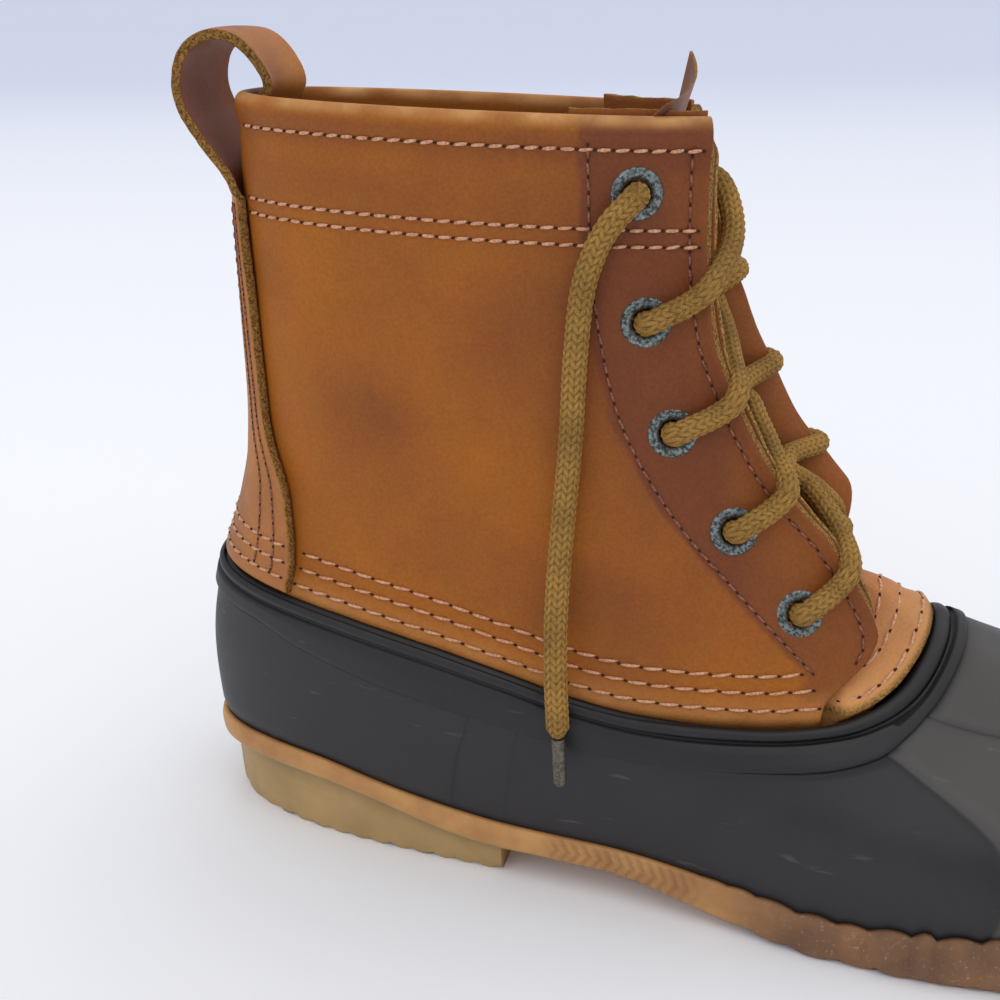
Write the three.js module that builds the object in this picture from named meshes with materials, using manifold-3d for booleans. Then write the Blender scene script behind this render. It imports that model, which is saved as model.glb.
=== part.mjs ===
// Right duck boot: a leather shaft sewn into a moulded rubber shell on a gum rubber outsole.
// Millimetres, +Z up, +X towards the toe, +Y towards the inner (medial) side of the foot.
// The origin is on the floor under the middle of the heel.

import * as THREE from "three";
import Module from "manifold-3d";
import { mergeVertices } from "three/addons/utils/BufferGeometryUtils.js";

const wasm = await Module();
wasm.setup();

// Driving dimensions
const soleLength = 302; // outsole, back of the heel to the toe
const heelCentre = 45; // origin, ahead of the sole's back edge
const ballWidth = 105; // outsole across the ball of the foot
const shaftWidth = 74; // leather shaft where it leaves the rubber
const rimHeight = 75; // top of the rubber at the back of the heel
const collarBack = 192.5; // top of the leather at the back
const collarFront = 186.5; // top of the leather at the lacing
const heelHeight = 20; // floor to the underside of the gum band at the back
const archHeight = 8.5; // floor to the sole's underside at the waist
const toeSpring = 11.5; // floor to the sole's underside at the toe
const gumHeight = 27; // top of the gum band at the back
const footbed = 23; // floor to the foot's seat in the outsole at the back
const treadDepth = 2.4; // depth of the tread's grooves
const treadPitch = 10.5; // spacing of the tread's grooves
const grooveWidth = 3; // width of a groove
const heelSetIn = 3.5; // heel block inside the gum band, at the sides
const heelSetBack = 8; // heel block inside the gum band, at the back
const gumLip = 1.5; // thickness of the gum lip round the rubber
const rubberWall = 2.6; // wall of the rubber shell
const rubberStand = 3; // rubber's outer face outside the leather's
const bandRelief = 0.9; // raised band under the rim
const overlayRelief = 0.8; // heel overlay and vamp panel
const beadRadius = 1.3; // rounded bead on the rim
const leather = 2.2; // wall of the shaft
const tongueLeather = 1.8; // wall of the tongue
const tongueRise = 14; // tongue above the collar
const tongueLean = 9; // tongue's lean forwards above the collar
const insoleThickness = 3; // loose insole
const strapThickness = 2.4; // back strap and pull loop
const loopBack = 10.3; // pull loop behind the strap that it rises from
const loopWidth = 21.5; // pull loop from back to front, along its middle
const loopRise = 13; // pull loop's middle above the collar
const laceDiameter = 5; // round braided lace
const agletDiameter = 3.4; // metal lace tip
const agletLength = 13; // metal lace tip
const eyeletDiameter = 11.3; // flange of an eyelet
const eyeletHole = 6; // bore of an eyelet
const eyeletBarrel = 0.5; // wall of an eyelet's barrel
const eyeletFlange = 1.1; // height of an eyelet's flange
const seat = 0.3; // clearance between pieces that touch
const lipSeat = 0.45; // clearance between the rubber and the gum lip
const strapSeat = 0.5; // clearance between the shaft and the back strap
const laceSeat = 0.5; // clearance under a lace that lies on a curved piece
const tongueSeat = 0.6; // clearance between the shaft and the foot of the tongue
const tongueRoom = 5.2; // more room for the lace in front of the tongue
const insoleEase = 0.8; // clearance round the insole

// Outsole from the back (0) to the toe (1): half-widths and centre line as shares of half the
// ball width, undersides as shares of the heel, arch and toe heights, tops as shares of the
// gum band's height and of the footbed.
const soleSections = [
  { along: 0, lateral: 0.76, medial: 0.76, centre: 0, heel: 1, arch: 0, toe: 0, gum: 1, bed: 1 },
  { along: 0.12, lateral: 0.76, medial: 0.75, centre: 0, heel: 0.92, arch: 0, toe: 0, gum: 0.93, bed: 0.94 },
  { along: 0.21, lateral: 0.75, medial: 0.73, centre: 0, heel: 0.66, arch: 0, toe: 0, gum: 0.74, bed: 0.73 },
  { along: 0.3, lateral: 0.74, medial: 0.68, centre: 0, heel: 0, arch: 1, toe: 0, gum: 0.6, bed: 0.53 },
  { along: 0.38, lateral: 0.74, medial: 0.64, centre: 0, heel: 0, arch: 0.93, toe: 0, gum: 0.56, bed: 0.47 },
  { along: 0.5, lateral: 0.85, medial: 0.74, centre: 0.02, heel: 0, arch: 0.24, toe: 0, gum: 0.47, bed: 0.36 },
  { along: 0.56, lateral: 0.94, medial: 0.84, centre: 0.04, heel: 0, arch: 0, toe: 0, gum: 0.41, bed: 0.32 },
  { along: 0.68, lateral: 1.04, medial: 0.935, centre: 0.075, heel: 0, arch: 0, toe: 0, gum: 0.49, bed: 0.325 },
  { along: 0.74, lateral: 1.05, medial: 0.93, centre: 0.1, heel: 0, arch: 0, toe: 0.07, gum: 0.57, bed: 0.355 },
  { along: 0.8, lateral: 1.03, medial: 0.88, centre: 0.12, heel: 0, arch: 0, toe: 0.24, gum: 0.66, bed: 0.42 },
  { along: 0.9, lateral: 0.95, medial: 0.8, centre: 0.14, heel: 0, arch: 0, toe: 0.58, gum: 0.83, bed: 0.58 },
  { along: 1, lateral: 0.85, medial: 0.72, centre: 0.15, heel: 0, arch: 0, toe: 1, gum: 1, bed: 0.76 },
];

// Rim of the rubber, by the turn in degrees from the back (0) round to the front (180):
// its height as a share of the rim's height at the back, and the depth of the raised band
// below it as a share of the same height.
const rimSections = [
  { turn: 0, height: 1.0, band: 0.12 },
  { turn: 37, height: 0.962, band: 0.12 },
  { turn: 53, height: 0.94, band: 0.18 },
  { turn: 72.5, height: 0.887, band: 0.225 },
  { turn: 87, height: 0.821, band: 0.215 },
  { turn: 98, height: 0.757, band: 0.195 },
  { turn: 108, height: 0.72, band: 0.17 },
  { turn: 120, height: 0.704, band: 0.15 },
  { turn: 131, height: 0.696, band: 0.145 },
  { turn: 140, height: 0.701, band: 0.13 },
  { turn: 149, height: 0.727, band: 0.1 },
  { turn: 158, height: 0.775, band: 0.08 },
  { turn: 166, height: 0.845, band: 0.075 },
  { turn: 173, height: 0.905, band: 0.075 },
  { turn: 180, height: 0.935, band: 0.075 },
];

// Leather shaft from the rim (0) to the collar (1): its back and front as shares of the sole
// length, its half-widths as shares of half the shaft width.
const shaftSections = [
  { up: -0.05, back: 0.028, front: 0.613, lateral: 0.965, medial: 0.93 },
  { up: 0.0, back: 0.025, front: 0.619, lateral: 1.0, medial: 1.0 },
  { up: 0.06, back: 0.034, front: 0.611, lateral: 0.97, medial: 0.97 },
  { up: 0.15, back: 0.046, front: 0.589, lateral: 0.92, medial: 0.92 },
  { up: 0.25, back: 0.056, front: 0.56, lateral: 0.87, medial: 0.87 },
  { up: 0.4, back: 0.061, front: 0.522, lateral: 0.81, medial: 0.8 },
  { up: 0.55, back: 0.062, front: 0.495, lateral: 0.775, medial: 0.75 },
  { up: 0.75, back: 0.064, front: 0.474, lateral: 0.74, medial: 0.68 },
  { up: 1.0, back: 0.068, front: 0.4635, lateral: 0.7, medial: 0.6 },
];

// Front edge of the shaft beside the throat, with the rounded tip of its flap at the bottom.
const throatEdge = [
  { up: -0.05, turn: 139 },
  { up: 0.0, turn: 139.5 },
  { up: 0.03, turn: 141 },
  { up: 0.05, turn: 146 },
  { up: 0.07, turn: 153 },
  { up: 0.095, turn: 158.5 },
  { up: 0.16, turn: 160.5 },
  { up: 0.25, turn: 160.4 },
  { up: 0.32, turn: 157.5 },
  { up: 0.4, turn: 154 },
  { up: 0.49, turn: 151.6 },
  { up: 0.57, turn: 149.5 },
  { up: 0.635, turn: 148.3 },
  { up: 0.76, turn: 149 },
  { up: 1.0, turn: 153 },
];

// Edge of the back strap, which widens downwards into the heel patch.
const strapEdge = [
  { up: 0.0, turn: 45.5 },
  { up: 0.08, turn: 44 },
  { up: 0.2, turn: 39.5 },
  { up: 0.36, turn: 29.5 },
  { up: 0.58, turn: 27.5 },
  { up: 0.82, turn: 23.3 },
  { up: 1.0, turn: 23 },
];

// Eyelets of one side, from the collar down.
const eyeletPlaces = [
  { up: 0.883, turn: 130.7 },
  { up: 0.68, turn: 130.4 },
  { up: 0.497, turn: 131.3 },
  { up: 0.328, turn: 137.6 },
  { up: 0.18, turn: 143.6 },
];

// Seams of the rubber on one side, from the sole (0) to the rim (1): the two edges of the
// heel overlay and the lower and upper ridges of the vamp, in degrees of turn.
const shellSeams = [
  { rise: 0.0, rear: 80, front: 87.3, lower: 131, upper: 168 },
  { rise: 0.25, rear: 81.2, front: 88.4, lower: 133.5, upper: 167 },
  { rise: 0.5, rear: 82.4, front: 89.2, lower: 137, upper: 165 },
  { rise: 0.75, rear: 82.9, front: 90, lower: 140.5, upper: 161.5 },
  { rise: 0.9, rear: 83, front: 90.3, lower: 143, upper: 156.5 },
  { rise: 1.0, rear: 83, front: 90.4, lower: 145, upper: 155 },
];

const rad = (degrees) => (degrees * Math.PI) / 180;
const mix = (a, b, share) => a + (b - a) * share;
const clamp = (value, low, high) => Math.min(Math.max(value, low), high);
const vec = (x, y, z) => new THREE.Vector3(x, y, z);

function smooth(value, from, to) {
  const share = clamp((value - from) / (to - from), 0, 1);
  return share * share * (3 - 2 * share);
}

// Reads a column of a table of sections along a smooth curve that never overshoots.
function read(table, key, at, column) {
  const x = clamp(at, table[0][key], table[table.length - 1][key]);
  let i = 0;
  while (i < table.length - 2 && x > table[i + 1][key]) i += 1;
  const step = (k) => table[k + 1][key] - table[k][key];
  const slope = (k) => (table[k + 1][column] - table[k][column]) / step(k);
  const tangent = (k) => {
    if (k === 0) return slope(0);
    if (k === table.length - 1) return slope(k - 1);
    const product = slope(k - 1) * slope(k);
    return product <= 0 ? 0 : (2 * product) / (slope(k - 1) + slope(k));
  };
  const h = step(i);
  const t = (x - table[i][key]) / h;
  const t2 = t * t;
  const t3 = t2 * t;
  return (
    (2 * t3 - 3 * t2 + 1) * table[i][column] +
    (t3 - 2 * t2 + t) * h * tangent(i) +
    (3 * t2 - 2 * t3) * table[i + 1][column] +
    (t3 - t2) * h * tangent(i + 1)
  );
}

// Form of the last. A turn goes round the boot: 0 at the back, 90 at the lateral side,
// 180 at the front and 270 at the medial side.
function aroundBoot(turn) {
  const side = turn <= 180 ? -1 : 1;
  const half = turn <= 180 ? turn : 360 - turn;
  return { side, half, along: (1 - Math.cos(rad(half))) / 2 };
}

const soleRound = 0.25; // roundness of the sole's outline at heel and toe
const shaftRound = 0.75; // roundness of the shaft's section

function soleOutline(along, side) {
  const t = clamp(along, 0, 1);
  const width = read(soleSections, "along", t, side < 0 ? "lateral" : "medial");
  const centre = read(soleSections, "along", t, "centre");
  const round = Math.pow(4 * t * (1 - t), soleRound);
  return new THREE.Vector2(t * soleLength - heelCentre, (centre + side * width * round) * (ballWidth / 2));
}

function soleInset(along, side, inset) {
  const step = 1e-3;
  const direction = soleOutline(along + step, side).sub(soleOutline(along - step, side));
  if (along < 2 * step) direction.set(0, side);
  if (along > 1 - 2 * step) direction.set(0, -side);
  direction.normalize();
  const outward = new THREE.Vector2(direction.y, -direction.x).multiplyScalar(side < 0 ? 1 : -1);
  return soleOutline(along, side).addScaledVector(outward, -inset);
}

// The outsole's sections crowd towards the heel, where its steps are.
const soleShare = (along) => along * (0.58 + 0.42 * along ** 3);
const soleColumn = (along, column) => read(soleSections, "along", along, column);
const bedHeight = (along) => soleColumn(along, "bed") * footbed;
const gumTop = (along) => soleColumn(along, "gum") * gumHeight;

function underside(along) {
  return (
    soleColumn(along, "heel") * heelHeight +
    soleColumn(along, "arch") * archHeight +
    soleColumn(along, "toe") * toeSpring
  );
}

const rimAt = (half) => read(rimSections, "turn", half, "height") * rimHeight;

function shaftPoint(turn, up) {
  const { side, half, along } = aroundBoot(turn);
  const back = read(shaftSections, "up", up, "back") * soleLength;
  const front = read(shaftSections, "up", up, "front") * soleLength;
  const width = (read(shaftSections, "up", up, side < 0 ? "lateral" : "medial") * shaftWidth) / 2;
  const rim = rimAt(half);
  const collar = mix(collarBack, collarFront, along);
  return vec(
    mix(back, front, along) - heelCentre,
    side * width * Math.pow(Math.sin(rad(half)), shaftRound),
    mix(rim, collar, up),
  );
}

// Outward normal of a surface given as a function of a turn and a share of its height.
function normalOf(surface, turn, share) {
  const turnStep = 0.5;
  const shareStep = 0.01;
  const wrap = (value) => (value + 360) % 360;
  const across = surface(wrap(turn + turnStep), share).sub(surface(wrap(turn - turnStep), share));
  const upward = surface(turn, share + shareStep).sub(surface(turn, share - shareStep));
  return across.cross(upward).normalize();
}

const shaftFace = (turn, up, out) =>
  shaftPoint(turn, up).addScaledVector(normalOf(shaftPoint, turn, up), out);

// Rubber shell: a curve from the outsole's seat (0) up to the rim (1) at each turn.
const shellInset = gumLip + seat; // foot of the shell inside the sole's outline
const footBulge = 2.5; // outward start of the curve at the sole
const rimBulge = 1.5; // outward end of the curve under the rim

function shellPoint(turn, rise) {
  const { side, half, along } = aroundBoot(turn);
  const share = soleShare(along);
  const foot = soleInset(share, side, shellInset);
  const start = vec(foot.x, foot.y, bedHeight(share));
  const end = shaftFace(turn, 0, rubberStand);
  const reach = vec(start.x - end.x, start.y - end.y, 0);
  const height = end.z - start.z;
  const flat = reach.length() / (reach.length() + height);
  const outward = vec(-Math.cos(rad(half)), side * Math.sin(rad(half)), 0);
  const lower = start.clone().addScaledVector(outward, footBulge);
  lower.z += height * (0.6 + 0.16 * flat);
  const upper = end.clone().addScaledVector(reach, 0.52).addScaledVector(outward, rimBulge);
  upper.z -= height * (0.33 + 0.24 * flat);
  const left = 1 - rise;
  return start
    .multiplyScalar(left ** 3)
    .addScaledVector(lower, 3 * left * left * rise)
    .addScaledVector(upper, 3 * left * rise * rise)
    .addScaledVector(end, rise ** 3);
}

const shellFace = (turn, rise, out) =>
  shellPoint(turn, rise).addScaledVector(normalOf(shellPoint, turn, clamp(rise, 0.02, 0.98)), out);

function shellLength(turn) {
  const steps = 12;
  let length = 0;
  for (let i = 0; i < steps; i += 1) {
    length += shellPoint(turn, i / steps).distanceTo(shellPoint(turn, (i + 1) / steps));
  }
  return length;
}

const belowRim = (turn, depth) => 1 - depth / shellLength(turn);
const bandDepth = (turn) => read(rimSections, "turn", aroundBoot(turn).half, "band") * rimHeight;

function riseAtHeight(turn, height) {
  let low = 0;
  let high = 1;
  for (let i = 0; i < 24; i += 1) {
    const middle = (low + high) / 2;
    if (shellPoint(turn, middle).z < height) low = middle;
    else high = middle;
  }
  return low;
}

const gumRise = (turn) => riseAtHeight(turn, gumTop(soleShare(aroundBoot(turn).along)));

// Closed solids from rings of points
function solidOf(points, faces) {
  let volume = 0;
  for (const [a, b, c] of faces) {
    volume += points[a].dot(points[b].clone().cross(points[c]));
  }
  const index = faces.flatMap(([a, b, c]) => (volume > 0 ? [a, b, c] : [a, c, b]));
  const geometry = new THREE.BufferGeometry();
  geometry.setAttribute("position", new THREE.Float32BufferAttribute(points.flatMap((p) => p.toArray()), 3));
  geometry.setIndex(index);
  geometry.computeVertexNormals();
  return geometry;
}

function quad(faces, a, b, c, d) {
  faces.push([a, b, c], [a, c, d]);
}

// A wall whose section is the loop of rows and which runs along the columns, either all the
// way round or with a flat end at its first and last column.
function wallOf(rows, around) {
  const count = rows[0].length;
  const points = rows.flat();
  const at = (row, column) => ((row + rows.length) % rows.length) * count + ((column + count) % count);
  const faces = [];
  for (let row = 0; row < rows.length; row += 1) {
    for (let column = 0; column < (around ? count : count - 1); column += 1) {
      quad(faces, at(row, column), at(row, column + 1), at(row + 1, column + 1), at(row + 1, column));
    }
  }
  if (around) return solidOf(points, faces);
  for (const [column, flip] of [[0, false], [count - 1, true]]) {
    for (let i = 0, j = rows.length - 1; j - i > 1; i += 1, j -= 1) {
      const corners = [at(i, column), at(i + 1, column), at(j - 1, column), at(j, column)];
      if (flip) corners.reverse();
      if (i + 1 === j - 1) faces.push(corners.filter((corner, k) => k === 0 || corner !== corners[k - 1]));
      else quad(faces, ...corners);
    }
  }
  return solidOf(points, faces);
}

// A filled body of stacked rings. Its top and bottom are strips across from side to side, so
// a ring's first point is at the back, its middle one at the front, and the rest are in pairs.
function stackOf(rings) {
  const count = rings[0].length;
  const points = rings.flat();
  const at = (ring, column) => ring * count + ((column + count) % count);
  const faces = [];
  for (let ring = 0; ring < rings.length - 1; ring += 1) {
    for (let column = 0; column < count; column += 1) {
      quad(faces, at(ring, column), at(ring, column + 1), at(ring + 1, column + 1), at(ring + 1, column));
    }
  }
  for (const [ring, flip] of [[0, true], [rings.length - 1, false]]) {
    for (let i = 0; i < count / 2; i += 1) {
      const strip = [at(ring, i), at(ring, i + 1), at(ring, count - i - 1), at(ring, count - i)];
      const corners = strip.filter((corner, k) => corner !== strip[(k + 3) % 4]);
      if (flip) corners.reverse();
      if (corners.length === 3) faces.push(corners);
      else quad(faces, ...corners);
    }
  }
  return solidOf(points, faces);
}

// Cuts and joins
function toManifold(geometry) {
  const bare = geometry.clone();
  bare.deleteAttribute("normal");
  if (bare.getAttribute("uv")) bare.deleteAttribute("uv");
  const merged = mergeVertices(bare, 1e-4);
  const mesh = new wasm.Mesh({
    numProp: 3,
    vertProperties: new Float32Array(merged.getAttribute("position").array),
    triVerts: new Uint32Array(merged.getIndex().array),
  });
  return new wasm.Manifold(mesh);
}

const sliver = 0.01; // edges of a cut shorter than this are closed up

function fromManifold(manifold) {
  const mesh = manifold.simplify(sliver).getMesh();
  const geometry = new THREE.BufferGeometry();
  geometry.setAttribute("position", new THREE.BufferAttribute(new Float32Array(mesh.vertProperties), 3));
  geometry.setIndex(new THREE.BufferAttribute(new Uint32Array(mesh.triVerts), 1));
  geometry.computeVertexNormals();
  return geometry;
}

// Columns of the rubber shell. They follow its seams, with a pair of columns at each.
const seamGap = 0.5; // degrees between the two columns of a seam
const columnsBetween = { patch: 3, rear: 4, front: 1, lower: 7, upper: 4, end: 3 };

function shellColumns(rise) {
  const seam = (name) => read(shellSeams, "rise", rise, name);
  const patch = strapEdge[0].turn;
  const half = [0];
  for (let i = 1; i <= columnsBetween.patch; i += 1) half.push((patch * i) / columnsBetween.patch);
  let from = patch;
  for (const name of ["rear", "front", "lower", "upper"]) {
    const to = seam(name) - seamGap / 2;
    for (let i = 1; i <= columnsBetween[name]; i += 1) half.push(mix(from, to, i / columnsBetween[name]));
    from = to + seamGap;
    half.push(from);
  }
  for (let i = 1; i < columnsBetween.end; i += 1) half.push(mix(from, 180, i / columnsBetween.end));
  const other = half.slice(1).reverse().map((turn) => 360 - turn);
  return [...half, 180, ...other];
}

// A row of the shell or of the lip on it: rise and relief are functions of the turn.
function shellRow(guess, rise, out) {
  const first = shellColumns(guess);
  return first.map((turn, i) => {
    const level = rise(turn);
    const column = shellColumns(level)[i];
    return shellFace(column, rise(column), out(column, level));
  });
}

// The foot of the shell's wall or of what lies inside it, level with the footbed.
function footRow(out, lift) {
  return shellColumns(0).map((turn) => {
    const point = shellFace(turn, 0, out);
    point.z = bedHeight(soleShare(aroundBoot(turn).along)) + lift;
    return point;
  });
}

// Raised heel overlay, second edge in front of it and raised vamp panel between the ridges.
function shellRelief(turn, rise) {
  const { half } = aroundBoot(turn);
  const seam = (name) => read(shellSeams, "rise", rise, name);
  const behind = (name) => 1 - smooth(half, seam(name) - seamGap / 2, seam(name) + seamGap / 2);
  const heel = 0.6 * behind("rear") + 0.4 * behind("front");
  const vamp = 0.5 * (1 - behind("lower")) + 0.5 * (1 - behind("upper"));
  return overlayRelief * (heel + vamp);
}

function makeShell() {
  const wallRises = [0.14, 0.34, 0.56, 0.78];
  const fixed = (value) => () => value;
  const band = (depthShare) => (turn) => belowRim(turn, bandDepth(turn) * depthShare);
  const under = (depth) => (turn) => belowRim(turn, depth);
  const between = (share) => (turn) => mix(gumRise(turn), band(1.06)(turn), share);
  const rows = [
    footRow(0, 0),
    shellRow(0.1, gumRise, fixed(0)),
    ...wallRises.map((share) => shellRow(share, between(share), shellRelief)),
    shellRow(0.75, band(1.06), shellRelief),
    shellRow(0.78, band(1), fixed(2 * bandRelief)),
    shellRow(0.94, under(3.4 * beadRadius), fixed(1.6 * bandRelief)),
    shellRow(0.95, under(2.6 * beadRadius), fixed(0.6 * bandRelief)),
    shellRow(0.97, under(1.4 * beadRadius), fixed(beadRadius)),
    shellRow(1, fixed(1), fixed(0.5 * beadRadius)),
    shellRow(1, fixed(1), fixed(seat - rubberStand + 0.1)),
    shellRow(0.8, under(10), fixed(-rubberWall)),
    shellRow(0.4, fixed(0.4), fixed(-rubberWall)),
    shellRow(0.15, gumRise, fixed(-rubberWall)),
    footRow(-rubberWall, 0),
  ];
  return wallOf(rows, true);
}

// Zigzag groove of the tread, cut up into the sole from below.
const treadWave = 2.5; // half-height of the zigzag
const treadTeeth = 4; // teeth across the sole

function makeGroove(at, top) {
  const half = ballWidth * 0.62;
  const edge = [];
  for (let i = 0; i <= treadTeeth * 2; i += 1) {
    edge.push([at + (i % 2 ? treadWave : -treadWave), mix(-half, half, i / (treadTeeth * 2))]);
  }
  const outline = [
    ...edge.map(([x, y]) => new THREE.Vector2(x - grooveWidth / 2, y)),
    ...edge.reverse().map(([x, y]) => new THREE.Vector2(x + grooveWidth / 2, y)),
  ];
  const below = 5;
  const shape = new THREE.Shape(outline);
  const groove = new THREE.ExtrudeGeometry(shape, { depth: top + below, bevelEnabled: false });
  return groove.translate(0, 0, -below);
}

// Heel block under the gum band, set in from it and tapered a little towards the floor
const heelEnd = 0.296; // breast of the heel, as a share of the sole length
const heelTaper = 1; // taper of its side

function makeHeelBlock() {
  const steps = 9;
  const ring = (inset, height) => {
    const place = (share, side) => {
      const setIn = inset + mix(heelSetBack, heelSetIn, smooth(share, 0, 0.12));
      const point = soleOutline(share, side);
      const x = mix(heelSetBack + inset, heelEnd * soleLength, share / heelEnd) - heelCentre;
      return vec(x, point.y - side * setIn * smooth(share, 0, 0.01), height(share));
    };
    const shares = [];
    for (let i = 1; i <= steps; i += 1) shares.push(heelEnd * (i / steps) ** 2);
    const lateral = shares.map((share) => place(share, -1));
    const medial = shares.toReversed().map((share) => place(share, 1));
    const breast = lateral[steps - 1].clone().lerp(medial[0], 0.5);
    return [place(0, 1), ...lateral, breast, ...medial];
  };
  const inside = (share) => mix(underside(share), bedHeight(share), 0.4);
  return stackOf([ring(heelTaper, () => 0), ring(0, inside)]);
}

function makeOutsole() {
  const columns = shellColumns(0);
  const edge = (inset, height) =>
    columns.map((turn) => {
      const { side, along } = aroundBoot(turn);
      const share = soleShare(along);
      const point = soleInset(share, side, inset);
      return vec(point.x, point.y, height(share));
    });
  const bevel = 1.2;
  const rings = [
    edge(bevel, (share) => underside(share)),
    edge(0, (share) => underside(share) + bevel),
    edge(0, (share) => mix(underside(share), gumTop(share), 0.6)),
    shellRow(0.1, gumRise, () => lipSeat + gumLip * 0.6),
    shellRow(0.1, gumRise, () => lipSeat),
    footRow(lipSeat, -seat),
  ];
  let sole = toManifold(stackOf(rings));
  sole = sole.add(toManifold(makeHeelBlock()));
  const grooves = [];
  for (const k of [-3, -2, -1, 1, 2, 3]) grooves.push([k * treadPitch, treadDepth]);
  const ball = 0.65 * soleLength - heelCentre;
  for (const k of [-4, -3, -2, -1, 1, 2, 3, 4, 5, 6, 7, 8]) {
    const x = ball + k * treadPitch;
    if (x > soleLength - heelCentre - treadPitch) continue;
    grooves.push([x, underside((x + heelCentre) / soleLength) + treadDepth]);
  }
  for (const [x, top] of grooves) sole = sole.subtract(toManifold(makeGroove(x, top)));
  return fromManifold(sole);
}

function makeInsole() {
  const out = -rubberWall - insoleEase;
  return stackOf([footRow(out, 0), footRow(out, insoleThickness)]);
}

// Columns of the shaft. At the rim they are the shell's own, and higher up they follow the
// edge of the back strap behind and the throat in front.
function shaftTurns(up) {
  const rimEdge = throatEdge[0].turn;
  const patch = strapEdge[0].turn;
  const middle = shellSeams[0].front;
  const strap = read(strapEdge, "up", up, "turn");
  const throat = read(throatEdge, "up", up, "turn");
  const place = (turn) => {
    if (turn <= patch) return (turn / patch) * strap;
    if (turn <= middle) return mix(strap, middle, (turn - patch) / (middle - patch));
    return mix(middle, throat, (turn - middle) / (rimEdge - middle));
  };
  const half = [...shellColumns(1).filter((turn) => turn < rimEdge), rimEdge].map(place);
  const other = half.slice(1).map((turn) => 360 - turn);
  return [...half.reverse(), ...other];
}

const shaftLevels = [-0.05, 0, 0.035, 0.065, 0.1, 0.17, 0.26, 0.37, 0.5, 0.65, 0.82, 0.99];

function makeShaft() {
  const row = (up, out) => shaftTurns(up).map((turn) => shaftFace(turn, up, out));
  const rows = [
    ...shaftLevels.map((up) => row(up, 0)),
    row(1, -leather / 2),
    ...shaftLevels.toReversed().map((up) => row(up, -leather)),
  ];
  let shaft = toManifold(wallOf(rows, false));
  const hole = eyeletHole / 2 + eyeletBarrel + seat;
  for (const place of eyeletFrames()) {
    const drill = new THREE.CylinderGeometry(hole, hole, 4 * leather, eyeletSides);
    shaft = shaft.subtract(toManifold(drill.applyMatrix4(place.matrix)));
  }
  return fromManifold(shaft);
}

// Tongue and the crescent at its foot, one piece of leather behind the throat. It follows the
// last at its foot and is flatter towards its top.
const tongueSections = [
  { up: -0.05, reach: 52, crown: 1.0 },
  { up: 0.08, reach: 50, crown: 1.0 },
  { up: 0.14, reach: 46, crown: 0.95 },
  { up: 0.27, reach: 48, crown: 0.75 },
  { up: 0.4, reach: 50, crown: 0.6 },
  { up: 0.6, reach: 53, crown: 0.4 },
  { up: 0.8, reach: 55, crown: 0.27 },
  { up: 1.0, reach: 56, crown: 0.2 },
];

function tonguePoint(share, up, out) {
  const level = Math.min(up, 1);
  const reach = read(tongueSections, "up", level, "reach");
  const turn = 180 + share * reach;
  const open = smooth(180 - Math.abs(share) * reach, 143, 149) * (1 - smooth(level, 0, 0.035));
  const room = tongueSeat + tongueRoom * smooth(level, 0.06, 0.15);
  const depth = mix(leather + room, seat, open);
  const point = shaftFace(turn, level, out - depth);
  const edge = shaftFace(180 + reach, level, out - depth);
  point.x = mix(edge.x, point.x, read(tongueSections, "up", level, "crown"));
  const above = Math.max(up - 1, 0);
  return point.add(vec(above * tongueLean, 0, above * tongueRise));
}

function makeTongue() {
  const count = 13;
  const levels = [-0.05, 0, 0.035, 0.08, 0.12, 0.17, 0.27, 0.4, 0.55, 0.72, 0.88, 1, 1.4, 2];
  const row = (up, out) => {
    const points = [];
    for (let i = 0; i < count; i += 1) points.push(tonguePoint(mix(-1, 1, i / (count - 1)), up, out));
    return points;
  };
  const rows = [
    ...levels.map((up) => row(up, 0)),
    ...levels.toReversed().map((up) => row(up, -tongueLeather)),
  ];
  return wallOf(rows, false);
}

// Back strap: up the outside from the rubber's rim, over in the pull loop and down inside.
const strapLeaves = 0.8; // where it leaves the shaft, as a share of the shaft's height
const strapInside = 0.86; // where its end is sewn inside

const loopFolds = [
  { across: 0.45, rise: 0.13 },
  { across: 0.195, rise: 0.38 },
  { across: 0.03, rise: 0.56 },
  { across: 0.0, rise: 0.72 },
  { across: 0.13, rise: 0.91 },
  { across: 0.42, rise: 1.0 },
  { across: 0.7, rise: 0.97 },
  { across: 0.92, rise: 0.835 },
  { across: 1.0, rise: 0.68 },
];

function loopCurve(start, end) {
  const back = start.x - loopBack;
  const top = collarBack + loopRise;
  const place = ({ across, rise }) => vec(back + across * loopWidth, 0, mix(start.z, top, rise));
  return new THREE.CatmullRomCurve3([start, ...loopFolds.map(place), end]);
}

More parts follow.
